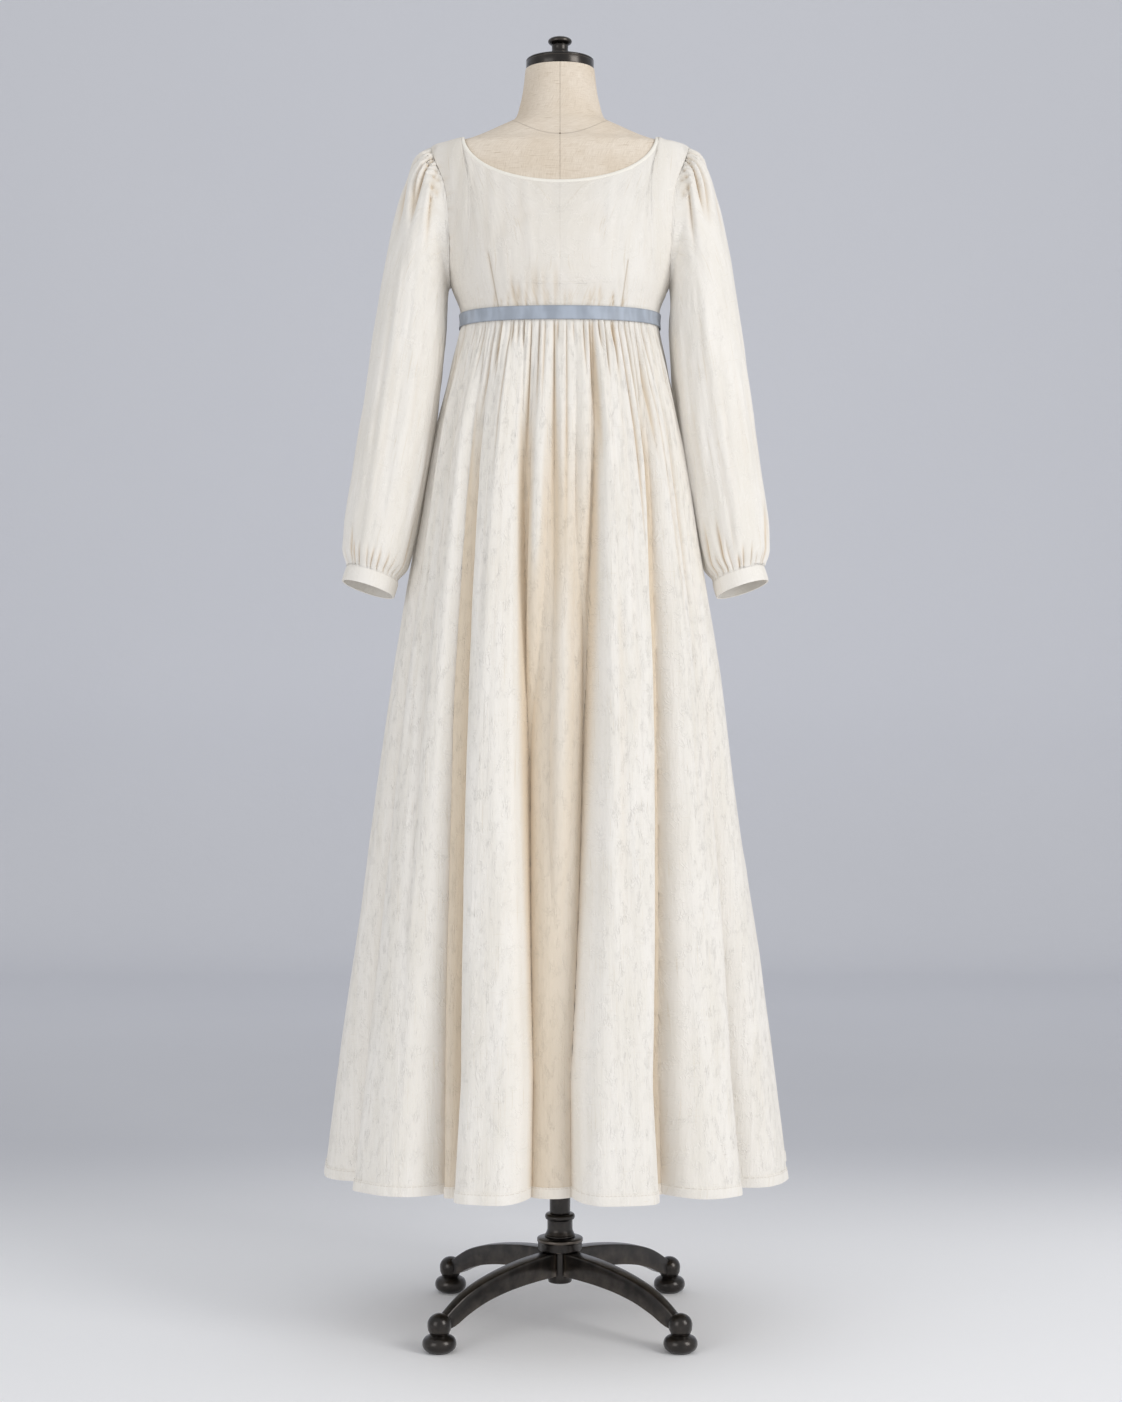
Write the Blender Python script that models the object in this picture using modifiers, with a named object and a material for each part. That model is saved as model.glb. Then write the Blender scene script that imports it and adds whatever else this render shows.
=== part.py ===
"""Regency gown on a dress form: the cloth panels, the form and its four-legged stand.

Metres, +Z up, +X to the wearer's left, -Y to the front. The origin is on the floor under the pole.
"""
from math import acos, cos, hypot, pi, radians, sin, sqrt

import bmesh
import bpy
import numpy as np
from mathutils import Vector

# ---- cloth -------------------------------------------------------------------------------------
WALL = 0.0013              # one layer of gown cloth
BAND_WALL = 0.0022         # turned layers of the cuffs and the hem
RIBBON_WALL = 0.0010
SEAM = 0.0003              # gap between pieces that are sewn together
EASE = 0.0004              # each edge's distance from its seam line, more than half a gap where it turns
SHOULDER_Z = 1.5915        # tip of the shoulder seam
NECK_HALF_WIDTH = 0.129    # neck points, on the shoulder seam
NECK_POINT_Z = 1.6025
FRONT_NECK_DROP = 0.0725
BACK_NECK_DROP = 0.0465
BINDING_WIDTH = 0.0040
BINDING_THICK = 0.0020
WAIST_Z = 1.3560           # seam of bodice and skirt, under the ribbon
WAIST_DIP = 0.0025         # how far the seam dips at the centre front
RIBBON_WIDTH = 0.0180
RIBBON_CLEAR = 0.0014      # room for the gathers' ridges under the ribbon
SIDE_EASE = 0.0006         # each skirt panel's distance from the plane of the side seams
UNDERARM_Z = 1.405
HEM_Z = 0.2060
HEM_DEPTH = 0.0140
NECK_CORNER_WIDEN = 0.30   # how much wider the seam under the binding is at the neck points
NECK_CORNER_POWER = 8
GATHERS = 62               # round the waist of the skirt
SLEEVE_GATHERS = 14        # round each cuff

# ---- form and stand ----------------------------------------------------------------------------
FORM_GAP = 0.0007          # between the form and the cloth that lies on it
FORM_BOTTOM_Z = 0.930
NECK_TOP_Z = 1.6985
ARM_PLATE_X = 0.156        # flat sides where arms would be
FORM_EDGE_HEIGHT = 0.012   # height of the bevel round the form's lower edge
FORM_LOW_WIDTH = 0.86      # the flat bottom's share of the width and depth above the bevel
FORM_LOW_DEPTH = 0.84
TUCK_MOST = 0.0060         # the form's skin lies this far inside the cloth, out of sight
TUCK_SLOPE = 0.30
LEAST_TUCK = 0.0030        # below the neck, so that the binding's straight steps stay clear
CAP_RADIUS = 0.046
CAP_HEIGHT = 0.0150
CAP_DOME = 0.0010
CAP_EDGE = 0.002
KNOB_TOP_Z = 1.744
SOCKET_RADIUS = 0.045
SOCKET_FLANGE = 0.006
SOCKET_DEPTH = 0.045
POLE_RADIUS = 0.0141
COLLAR_TOP_Z = 0.1460
HUB_RADIUS = 0.0312
HUB_TOP_Z = 0.1145
HUB_RIM_DEPTH = 0.0182     # from the hub's top to the underside of its rim
HUB_BOSS_RADIUS = 0.0168
HUB_LOW_Z = 0.0525
LEG_BEVEL = 0.16           # of a leg's width
FOOT_REACH = 0.2206        # from the pole's axis to a foot's axis
FOOT_HEIGHT = 0.0230
FOOT_RADIUS = 0.0222
KNUCKLE_RADIUS = 0.0155

# ---- body that the bodice is cut for: a row for each level -----------------------------------------
BODY_COLUMNS = ("z", "half_width", "front", "back")
BODY = (
    (0.930, 0.143, 0.090, 0.096),
    (1.020, 0.152, 0.096, 0.106),
    (1.110, 0.142, 0.090, 0.100),
    (1.210, 0.118, 0.080, 0.082),
    (1.290, 0.124, 0.092, 0.090),
    (1.345, 0.1312, 0.1000, 0.1000),
    (1.366, 0.1325, 0.1025, 0.1010),
    (1.405, 0.1462, 0.1150, 0.1040),
    (1.450, 0.1610, 0.117, 0.107),
    (1.500, 0.1760, 0.105, 0.111),
    (1.530, 0.1810, 0.091, 0.110),
    (1.568, 0.1860, 0.075, 0.101),
    (1.5915, 0.1742, 0.067, 0.088),
    (1.6025, 0.1292, 0.062, 0.076),
    (1.6180, 0.0895, 0.059, 0.068),
    (1.6325, 0.0605, 0.056, 0.060),
    (1.650, 0.0546, 0.053, 0.056),
    (1.670, 0.0503, 0.051, 0.053),
    (1.6985, 0.0470, 0.049, 0.050),
)
BODY_POWER = 2.2           # 2 is an ellipse, more is squarer

# ---- skirt: a row for each level, from the waist to the hem ------------------------------------------
SKIRT_COLUMNS = ("z", "half_width", "half_depth", "gather", "fold")
SKIRT = (
    (WAIST_Z, 0.1328, 0.1020, 0.0005, 0.00),
    (1.338, 0.1352, 0.1035, 0.0014, 0.01),
    (1.316, 0.1412, 0.1080, 0.0030, 0.03),
    (1.270, 0.1530, 0.1190, 0.0028, 0.07),
    (1.190, 0.1705, 0.1320, 0.0014, 0.13),
    (1.060, 0.1930, 0.1500, 0.0004, 0.20),
    (0.880, 0.2252, 0.1750, 0.0000, 0.27),
    (0.660, 0.2575, 0.1990, 0.0000, 0.33),
    (0.430, 0.2905, 0.2230, 0.0000, 0.38),
    (HEM_Z, 0.3200, 0.2440, 0.0000, 0.41),
)

# ---- armhole seam, seen from the front -----------------------------------------------------------------
ARMHOLE_COLUMNS = ("z", "x")
ARMHOLE = (
    (UNDERARM_Z, 0.1462),
    (1.43, 0.1460),
    (1.48, 0.1472),
    (1.53, 0.1532),
    (1.568, 0.1665),
    (SHOULDER_Z, 0.1742),
)
ARMHOLE_ROWS = (14, 12, 10, 8, 6, 4, 2, 1, 0)   # points of the armhole that the panels' rows end on

# ---- big folds: angle at the waist and at the hem, half width at the waist, half widths at the hem ----
# towards lower and towards higher angles, and how far each stands out
FOLD_COLUMNS = ("waist_deg", "hem_deg", "waist_half_deg", "low_half_deg", "high_half_deg", "height")
FOLDS = (
    (181, 182, 17.5, 17.5, 23.0, 0.98),
    (213, 216.5, 15.0, 8.5, 24.5, 0.97),
    (241, 254, 10.2, 12.0, 9.2, 0.98),
    (300.6, 283.5, 12.6, 11.1, 12.4, 1.00),
    (328, 312.0, 11.5, 12.4, 10.0, 0.97),
    (338, 341.0, 10.0, 17.5, 16.0, 0.94),
    (16, 15.5, 12.5, 12.5, 13.5, 0.98),
    (41, 42, 13.5, 12.0, 13.0, 0.95),
    (68, 69, 13.0, 13.0, 12.0, 1.00),
    (95, 96, 13.5, 13.5, 12.5, 0.96),
    (122, 122.5, 12.5, 13.0, 12.0, 1.00),
    (148, 147.5, 12.0, 12.0, 13.0, 0.95),
)
FOLD_FLATNESS = 2.6        # 2 is a round fold, more is flatter in front
FOLD_POWER = 0.75          # how steeply its sides fall
FOLD_SETTLE = 1.15         # a fold has reached its place at the hem before the hem

# ---- sleeve: a row for each ring after the armhole, outer and inner points seen from the front ----------
SLEEVE_COLUMNS = ("outer_x", "outer_z", "inner_x", "inner_z", "middle_y", "half_depth", "pitch", "gather")
SLEEVE = (
    (0.1838, 1.5888, 0.1512, 1.4010, 0.000, 0.0660, 0.00, 0.0022),
    (0.1962, 1.5762, 0.1522, 1.3930, -0.001, 0.0680, 0.00, 0.0028),
    (0.2108, 1.5400, 0.1528, 1.3820, -0.003, 0.0690, 0.00, 0.0022),
    (0.2232, 1.4940, 0.1530, 1.3680, -0.006, 0.0670, 0.01, 0.0012),
    (0.2340, 1.4400, 0.1532, 1.3480, -0.009, 0.0630, 0.02, 0.0004),
    (0.2450, 1.3650, 0.1556, 1.3100, -0.014, 0.0580, 0.04, 0.0000),
    (0.2590, 1.2650, 0.1645, 1.2300, -0.024, 0.0540, 0.07, 0.0000),
    (0.2740, 1.1640, 0.1800, 1.1320, -0.032, 0.0510, 0.10, 0.0000),
    (0.2855, 1.0800, 0.1945, 1.0500, -0.037, 0.0480, 0.13, 0.0010),
    (0.2880, 1.0440, 0.2035, 1.0180, -0.040, 0.0440, 0.15, 0.0022),
    (0.2835, 1.0272, 0.2140, 1.0058, -0.041, 0.0365, 0.16, 0.0018),
    (0.2825, 1.0216, 0.2155, 1.0008, -0.0415, 0.0345, 0.16, 0.0008),
)
CUFF_TOP = (0.2825, 1.0204, 0.2155, 0.9996, -0.0415, 0.0345, 0.16, 0.0)
CUFF_BOTTOM = (0.2880, 1.0022, 0.2205, 0.9814, -0.0445, 0.0350, 0.16, 0.0)
SLEEVE_SWING = {"left": -0.009, "right": 0.003}   # outward at the cuff, for the wearer's side

# ---- stand's leg: a row for each section out from the pole -----------------------------------------
LEG_COLUMNS = ("reach", "top_z", "bottom_z", "width")
LEG = (
    (0.0172, 0.0960, 0.0640, 0.022),
    (0.0600, 0.0935, 0.0630, 0.022),
    (0.1000, 0.0885, 0.0600, 0.021),
    (0.1400, 0.0805, 0.0530, 0.019),
    (0.1750, 0.0690, 0.0415, 0.017),
    (0.2000, 0.0555, 0.0300, 0.015),
    (0.2180, 0.0430, 0.0260, 0.013),
)

LEG_ANGLES = {"front_left": -45, "front_right": -135, "back_left": 45, "back_right": 135}

# ---- levels of the form's rings ------------------------------------------------------------------------
NECK_BASE_Z = 1.630
FORM_LEVELS = (FORM_BOTTOM_Z + FORM_EDGE_HEIGHT, 0.98, 1.05, 1.13, 1.21, 1.29, 1.36, 1.41, 1.46, 1.50, 1.53,
               1.555, 1.575, 1.584, SHOULDER_Z, 1.597, NECK_POINT_Z, 1.618, 1.6325, 1.650, 1.675, NECK_TOP_Z)

# ---- mesh density ---------------------------------------------------------------------------------
SKIRT_COUNT = 2 * GATHERS
SLEEVE_COUNT = 2 * SLEEVE_GATHERS
NECK_COLUMNS = 8           # in each quarter of the neck edge
SHOULDER_COLUMNS = 3
PANEL_COLUMNS = NECK_COLUMNS + SHOULDER_COLUMNS
SIDE_ROWS = 2
FORM_COUNT = 28
TURN_STEPS = 20
SMALL_TURN_STEPS = 16

COLOURS = {                # base colour, roughness, metallic
    "gown_cloth": ((0.82, 0.77, 0.68), 0.85, 0.0),
    "binding_cloth": ((0.86, 0.83, 0.77), 0.80, 0.0),
    "ribbon_satin": ((0.23, 0.29, 0.38), 0.45, 0.0),
    "form_linen": ((0.66, 0.57, 0.45), 0.90, 0.0),
    "bronze_metal": ((0.040, 0.035, 0.031), 0.30, 0.8),
}


def table(columns, rows):
    """A table as a dictionary of columns."""
    return {name: np.array([row[i] for row in rows], float) for i, name in enumerate(columns)}


def smooth_read(x, xs, ys):
    """Read a column at x on a smooth curve through its rows (monotone cubic)."""
    order = np.argsort(xs)
    xs, ys = np.asarray(xs)[order], np.asarray(ys)[order]
    step = np.diff(xs)
    rise = np.diff(ys) / step
    slope = np.zeros(len(xs))
    slope[0], slope[-1] = rise[0], rise[-1]
    for k in range(1, len(xs) - 1):
        if rise[k - 1] * rise[k] > 0:
            w1, w2 = 2 * step[k] + step[k - 1], step[k] + 2 * step[k - 1]
            slope[k] = (w1 + w2) / (w1 / rise[k - 1] + w2 / rise[k])
    x = min(max(x, xs[0]), xs[-1])
    k = min(int(np.searchsorted(xs, x, side="right")) - 1, len(xs) - 2)
    t = (x - xs[k]) / step[k]
    return (ys[k] * (2 * t**3 - 3 * t**2 + 1) + slope[k] * step[k] * (t**3 - 2 * t**2 + t)
            + ys[k + 1] * (3 * t**2 - 2 * t**3) + slope[k + 1] * step[k] * (t**3 - t**2))


BODY_TABLE = table(BODY_COLUMNS, BODY)
SKIRT_TABLE = table(SKIRT_COLUMNS, SKIRT)
ARMHOLE_TABLE = table(ARMHOLE_COLUMNS, ARMHOLE)
FOLD_TABLE = table(FOLD_COLUMNS, FOLDS)
SLEEVE_RINGS = [dict(zip(SLEEVE_COLUMNS, row)) for row in SLEEVE]
CUFF_RINGS = [dict(zip(SLEEVE_COLUMNS, row)) for row in (CUFF_TOP, CUFF_BOTTOM)]
LEG_SECTIONS = [dict(zip(LEG_COLUMNS, row)) for row in LEG]


def body(name, z):
    return smooth_read(z, BODY_TABLE["z"], BODY_TABLE[name])


def skirt(name, z):
    return smooth_read(z, SKIRT_TABLE["z"], SKIRT_TABLE[name])


def oval(angle, half_width, half_depth, z):
    """A point of a level oval section; -90 degrees is the front."""
    c, s = cos(angle), sin(angle)
    x = half_width * abs(c) ** (2 / BODY_POWER) * (1 if c >= 0 else -1)
    y = half_depth * abs(s) ** (2 / BODY_POWER) * (1 if s >= 0 else -1)
    return Vector((x, y, z))


def body_skin(angle, z):
    """A point of the body's surface."""
    return oval(angle, body("half_width", z), body("front" if sin(angle) < 0 else "back", z), z)


def body_point(angle, z, out=0.0):
    """A point of the body moved out along the surface's normal."""
    around = body_skin(angle + 0.05, z) - body_skin(angle - 0.05, z)
    upward = body_skin(angle, z + 0.002) - body_skin(angle, z - 0.002)
    return body_skin(angle, z) + around.cross(upward).normalized() * out


def body_angle(x, z):
    """The front angle at which the body is x wide at level z, from 0 at the side to pi/2."""
    share = min(abs(x) / body("half_width", z), 1.0)
    return acos(share ** (BODY_POWER / 2))


# ---- scene helpers --------------------------------------------------------------------------------
def clear_scene():
    for obj in list(bpy.data.objects):
        bpy.data.objects.remove(obj, do_unlink=True)


def collection(name):
    made = bpy.data.collections.new(name)
    bpy.context.scene.collection.children.link(made)
    return made


def material(name, finish):
    colour, roughness, metallic = COLOURS[finish]
    made = bpy.data.materials.new(name)
    made.use_nodes = True
    shader = made.node_tree.nodes["Principled BSDF"]
    shader.inputs["Base Color"].default_value = (*colour, 1.0)
    shader.inputs["Roughness"].default_value = roughness
    shader.inputs["Metallic"].default_value = metallic
    return made


def add_object(name, mesh, finish, group):
    mesh.materials.append(material(name, finish))
    obj = bpy.data.objects.new(name, mesh)
    group.objects.link(obj)
    return obj


def mesh_from(name, points, faces):
    mesh = bpy.data.meshes.new(name)
    mesh.from_pydata([tuple(p) for p in points], [], faces)
    mesh.update()
    return mesh


def grid_faces(rows, columns, wrap):
    """Quads of a grid of points, row after row; wrap joins the last column to the first."""
    faces = []
    for r in range(rows - 1):
        for c in range(columns if wrap else columns - 1):
            d = (c + 1) % columns
            faces.append((r * columns + c, r * columns + d, (r + 1) * columns + d, (r + 1) * columns + c))
    return faces


def loft(name, rings):
    """A closed solid through rings of points, its two ends flat."""
    count = len(rings[0])
    faces = grid_faces(len(rings), count, True)
    faces.append(tuple(range(count))[::-1])
    last = (len(rings) - 1) * count
    faces.append(tuple(range(last, last + count)))
    mesh = mesh_from(name, [p for ring in rings for p in ring], faces)
    form = bmesh.new()
    form.from_mesh(mesh)
    bmesh.ops.recalc_face_normals(form, faces=form.faces)
    form.to_mesh(mesh)
    form.free()
    return mesh


def orient_outward(mesh, centre_of):
    """Turn an open sheet's faces so that they point away from centre_of(point)."""
    form = bmesh.new()
    form.from_mesh(mesh)
    bmesh.ops.recalc_face_normals(form, faces=form.faces)
    form.normal_update()
    votes = 0.0
    for face in form.faces:
        middle = face.calc_center_median()
        votes += face.normal.dot(middle - centre_of(middle)) * face.calc_area()
    if votes < 0:
        bmesh.ops.reverse_faces(form, faces=form.faces)
    form.to_mesh(mesh)
    form.free()


def cloth_sheet(name, rows, wrap, thickness, finish, group, centre_of):
    """An open sheet through rows of points, given its thickness half to each side."""
    columns = len(rows[0])
    points = [p for row in rows for p in row]
    mesh = mesh_from(name, points, grid_faces(len(rows), columns, wrap))
    orient_outward(mesh, centre_of)
    obj = add_object(name, mesh, finish, group)
    wall = obj.modifiers.new("Wall", "SOLIDIFY")
    wall.thickness = thickness
    wall.offset = 0.0
    wall.use_rim = True
    mesh.shade_smooth()
    return obj


def turned(name, profile, finish, group, place=(0.0, 0.0, 0.0), steps=TURN_STEPS):
    """A turned piece: a profile of (radius, z) points from the axis at the top to the axis below."""
    points = [(radius, 0.0, z) for radius, z in profile]
    mesh = bpy.data.meshes.new(name)
    mesh.from_pydata(points, [(i, i + 1) for i in range(len(points) - 1)], [])
    obj = add_object(name, mesh, finish, group)
    obj.location = place
    turn = obj.modifiers.new("Turn", "SCREW")
    turn.steps = turn.render_steps = steps
    turn.use_merge_vertices = True
    turn.merge_threshold = 0.0001
    turn.use_smooth_shade = True
    return obj


def arc(centre_r, centre_z, radius_r, radius_z, start_deg, end_deg, count):
    """Profile points on an elliptic arc, angles from the radius's direction, counterclockwise."""
    made = []
    for i in range(count + 1):
        angle = radians(start_deg + (end_deg - start_deg) * i / count)
        made.append((centre_r + radius_r * cos(angle), centre_z + radius_z * sin(angle)))
    return made


# ---- skirt ------------------------------------------------------------------------------------------
def waist_z(angle):
    """Level of the waist seam: it dips a little at the centre front."""
    return WAIST_Z - WAIST_DIP * max(0.0, -sin(angle)) ** 2


def fold_share(angle, z):
    """How far the big folds stand out at an angle, 0 in a valley and 1 on a crest."""
    down = (WAIST_Z - z) / (WAIST_Z - HEM_Z)
    share = 0.0
    for k in range(len(FOLDS)):
        fold = {name: FOLD_TABLE[name][k] for name in FOLD_COLUMNS}
        centre = fold["waist_deg"] + (fold["hem_deg"] - fold["waist_deg"]) * min(1.0, down * FOLD_SETTLE)
        away = (np.degrees(angle) - centre + 180.0) % 360.0 - 180.0
        hem_half = fold["low_half_deg"] if away < 0 else fold["high_half_deg"]
        reach = abs(away) / (fold["waist_half_deg"] + (hem_half - fold["waist_half_deg"]) * down)
        if reach < 1.0:
            share = max(share, fold["height"] * (1.0 - reach**FOLD_FLATNESS) ** FOLD_POWER)
    return share


def skirt_point(index, z_share):
    """A point of the skirt; z_share runs from 0 at the waist to 1 at the hem."""
    angle = 2 * pi * index / SKIRT_COUNT + pi
    top = waist_z(angle)
    z = top + (HEM_Z - top) * z_share
    level = WAIST_Z + (HEM_Z - WAIST_Z) * z_share
    half_width, half_depth = skirt("half_width", level), skirt("half_depth", level)
    valley = skirt("fold", level) * (1.0 - fold_share(angle, level))
    ripple = skirt("gather", level) * (1 if index % 2 else -1)
    p = oval(angle, half_width, half_depth, z)
    scale = (1.0 - valley) + ripple / hypot(p.x, p.y)
    return Vector((p.x * scale, p.y * scale, z))


def build_skirt(group):
    levels = [(WAIST_Z - z) / (WAIST_Z - HEM_Z) for z in SKIRT_TABLE["z"]]
    levels[0] = EASE / (WAIST_Z - HEM_Z)
    levels[-1] = 1.0 - (HEM_DEPTH + SEAM) / (WAIST_Z - HEM_Z)
    band = [1.0 - HEM_DEPTH / (WAIST_Z - HEM_Z), 1.0]
    half = SKIRT_COUNT // 2
    for side, first in (("front", 0), ("back", half)):
        rows, hem_rows = [], []
        for rows_made, shares in ((rows, levels), (hem_rows, band)):
            for share in shares:
                row = [skirt_point(first + i, share) for i in range(half + 1)]
                for end in (row[0], row[-1]):
                    end.y += SIDE_EASE if side == "back" else -SIDE_EASE
                rows_made.append(row)
        cloth_sheet(f"skirt_{side}", rows, False, WALL, "gown_cloth", group, axis_point)
        cloth_sheet(f"hem_{side}", hem_rows, False, BAND_WALL, "gown_cloth", group, axis_point)


def axis_direction(point):
    """Level direction from the pole's axis to a point."""
    return Vector((point.x, point.y, 0.0)).normalized()


def axis_point(point):
    return Vector((0.0, 0.0, point.z))


def build_ribbon(group):
    out = RIBBON_CLEAR + WALL / 2 + RIBBON_WALL / 2 + SEAM
    rows = []
    for rise in (RIBBON_WIDTH / 2, -RIBBON_WIDTH / 2):
        row = []
        for i in range(SKIRT_COUNT // 2):
            angle = 4 * pi * i / SKIRT_COUNT + pi
            z = waist_z(angle) + rise
            widest = oval(angle, skirt("half_width", z), skirt("half_depth", z), z)
            if rise > 0:
                widest = body_point(angle, z, CLOTH_OUT)
            row.append(widest + axis_direction(widest) * out)
        rows.append(row)
    cloth_sheet("waist_ribbon", rows, True, RIBBON_WALL, "ribbon_satin", group, axis_point)


# ---- bodice -----------------------------------------------------------------------------------------
CLOTH_OUT = FORM_GAP + WALL / 2
BINDING_OUT = FORM_GAP + SEAM + BINDING_THICK / 2
SHOULDER_SLOPE = (NECK_POINT_Z - SHOULDER_Z) / (body("half_width", SHOULDER_Z) - NECK_HALF_WIDTH)


def neck_place(turn, drop, lower):
    """Angle and level on a line that lies lower by so much than the neck edge; turn is 0 at the centre."""
    if lower > BINDING_WIDTH:
        lower *= 1 + NECK_CORNER_WIDEN * sin(turn) ** NECK_CORNER_POWER
    x = (NECK_HALF_WIDTH + lower) * sin(turn)
    z = NECK_POINT_Z - lower * SHOULDER_SLOPE - (drop + lower * (1 - SHOULDER_SLOPE)) * cos(turn)
    return body_angle(x, z), z


def neck_curve(drop, side, lower=0.0):
    """Angles and levels along the neck edge from the centre to the neck point, closer near the shoulder."""
    sign = -1 if side == "front" else 1
    turns = np.linspace(0.0, pi / 2, 201)
    places = [neck_place(turn, drop, 0.0) for turn in turns]
    points = [body_skin(sign * angle, z) for angle, z in places]
    length = np.cumsum([0.0] + [(b - a).length for a, b in zip(points, points[1:])])
    wanted = length[-1] * (1 - (1 - np.linspace(0.0, 1.0, NECK_COLUMNS + 1)) ** 1.3)
    return [neck_place(float(np.interp(w, length, turns)), drop, lower) for w in wanted]


def armhole_x(z):
    """Distance of the armhole seam from the middle, seen from the front."""
    return smooth_read(z, ARMHOLE_TABLE["z"], ARMHOLE_TABLE["x"])


def armhole_angle(z):
    inside = UNDERARM_Z + 0.0005 < z < SHOULDER_Z - 0.0005
    return body_angle(armhole_x(z), z) if inside else 0.0


def armhole_levels():
    """Levels of the armhole's points, from the shoulder tip down to the underarm."""
    middle, half = (SHOULDER_Z + UNDERARM_Z) / 2, (SHOULDER_Z - UNDERARM_Z) / 2
    return [middle + half * cos(pi * i / SLEEVE_GATHERS) for i in range(SLEEVE_GATHERS + 1)]


def panel_rows(side):
    """Rows of (x, z) of half a bodice front or back, from the waist to the neck and shoulder."""
    drop = FRONT_NECK_DROP if side == "front" else BACK_NECK_DROP
    sign = -1 if side == "front" else 1
    neck = neck_curve(drop, side, BINDING_WIDTH + EASE)
    top = [(body_skin(sign * angle, z).x, z) for angle, z in neck]
    for i in range(1, SHOULDER_COLUMNS + 1):
        z = neck[-1][1] + (SHOULDER_Z - neck[-1][1]) * i / SHOULDER_COLUMNS
        top.append((body("half_width", z), z))
    bottom = []
    for i in range(PANEL_COLUMNS + 1):
        angle = sign * pi / 2 * (1 - i / PANEL_COLUMNS)
        z = waist_z(angle) + EASE
        bottom.append((body_skin(angle, z).x, z))
    low, high = bottom[-1][1], SHOULDER_Z
    side_z = [low + (UNDERARM_Z - low) * k / SIDE_ROWS for k in range(SIDE_ROWS)]
    rows = []
    for edge_z in side_z + [armhole_levels()[k] for k in ARMHOLE_ROWS]:
        v = (edge_z - low) / (high - low)
        edge_x = body_skin(armhole_angle(edge_z), edge_z).x
        row = []
        for i in range(PANEL_COLUMNS + 1):
            u = i / PANEL_COLUMNS
            x = ((1 - v) * bottom[i][0] + v * top[i][0]
                 + u * (edge_x - (1 - v) * bottom[-1][0] - v * top[-1][0]))
            z = (1 - v) * bottom[i][1] + v * top[i][1]
            row.append((x, z))
        rows.append(row)
    return rows


def build_bodice(group):
    for side in ("front", "back"):
        rows = panel_rows(side)
        sign = -1 if side == "front" else 1
        for hand, mirror in (("left", 1), ("right", -1)):
            points = []
            for row in rows:
                made = []
                for i, (x, z) in enumerate(row):
                    angle = body_angle(x, z)
                    p = body_point(sign * angle, z, CLOTH_OUT)
                    at_middle, at_side = i == 0, angle < 0.001
                    p.x = EASE if at_middle else p.x
                    p.y = sign * EASE if at_side else p.y
                    p.x *= mirror
                    made.append(p)
                points.append(made)
            cloth_sheet(f"bodice_{side}_{hand}", points, False, WALL, "gown_cloth", group, axis_point)


def build_binding(group):
    """A narrow band round the neck edge, lying on the form."""
    rows = []
    for lower in (0.0, BINDING_WIDTH):
        quarters = {}
        for side, drop in (("front", FRONT_NECK_DROP), ("back", BACK_NECK_DROP)):
            sign = -1 if side == "front" else 1
            curve = neck_curve(drop, side, lower)
            quarters[side] = [body_point(sign * angle, z, BINDING_OUT) for angle, z in curve]
        front, back = quarters["front"], quarters["back"]
        half = front[:-1] + back[::-1]
        rows.append(half + [Vector((-p.x, p.y, p.z)) for p in half[-2:0:-1]])
    cloth_sheet("neck_binding", rows, True, BINDING_THICK, "binding_cloth", group, axis_point)


# ---- sleeves ------------------------------------------------------------------------------------------
def armhole_ring():
    """The sleeve's first ring, just off the armhole seam: shoulder tip, front, underarm, back."""
    ring = []
    levels = armhole_levels()
    for i in range(SLEEVE_COUNT):
        down = i if i <= SLEEVE_GATHERS else SLEEVE_COUNT - i
        sign = -1 if i < SLEEVE_GATHERS else 1
        near = [down] if down in ARMHOLE_ROWS else [down - 1, down + 1]
        points = [body_point(sign * armhole_angle(levels[k]), levels[k], CLOTH_OUT) for k in near]
        p = sum(points, Vector()) / len(points)
        under = max(0.0, -cos(pi * down / SLEEVE_GATHERS)) ** 2
        ring.append(p + Vector((SEAM + 2 * EASE + WALL * under, 0.0, 0.0)))
    return ring


def sleeve_ring(ring, swing):
    """A slanted oval section of the sleeve, through its outer and inner points seen from the front."""
    outer = Vector((ring["outer_x"], 0.0, ring["outer_z"]))
    inner = Vector((ring["inner_x"], 0.0, ring["inner_z"]))
    middle, half = (outer + inner) / 2, (outer - inner) / 2
    away = swing * (SHOULDER_Z - middle.z) / (SHOULDER_Z - CUFF_RINGS[0]["outer_z"])
    made = []
    for i in range(SLEEVE_COUNT):
        turn = 2 * pi * i / SLEEVE_COUNT
        upper = max(0.0, cos(turn)) if middle.z > UNDERARM_Z else 1.0
        ripple = ring["gather"] * upper * (1 if i % 2 else -1)
        p = middle + half * cos(turn) * (1.0 + ripple / half.length)
        y = -(ring["half_depth"] + ripple) * sin(turn)
        made.append(Vector((p.x + away, ring["middle_y"] + y, p.z - ring["pitch"] * y)))
    return made


def build_sleeves(group):
    for hand, mirror in (("left", 1), ("right", -1)):
        swing = SLEEVE_SWING[hand]
        rings = [armhole_ring()] + [sleeve_ring(ring, swing) for ring in SLEEVE_RINGS]
        cuff = [sleeve_ring(ring, swing) for ring in CUFF_RINGS]
        for rows in (rings, cuff):
            for row in rows:
                for p in row:
                    p.x *= mirror
        cloth_sheet(f"sleeve_{hand}", rings, True, WALL, "gown_cloth", group, SleeveAxis(rings))
        cloth_sheet(f"cuff_{hand}", cuff, True, BAND_WALL, "gown_cloth", group, SleeveAxis(cuff))


class SleeveAxis:
    """Nearest ring's middle, so that a sleeve's faces point away from its axis."""

    def __init__(self, rings):
        self.middles = [sum(ring, Vector()) / len(ring) for ring in rings]

    def __call__(self, point):
        return min(self.middles, key=lambda m: (m - point).length)


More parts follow.
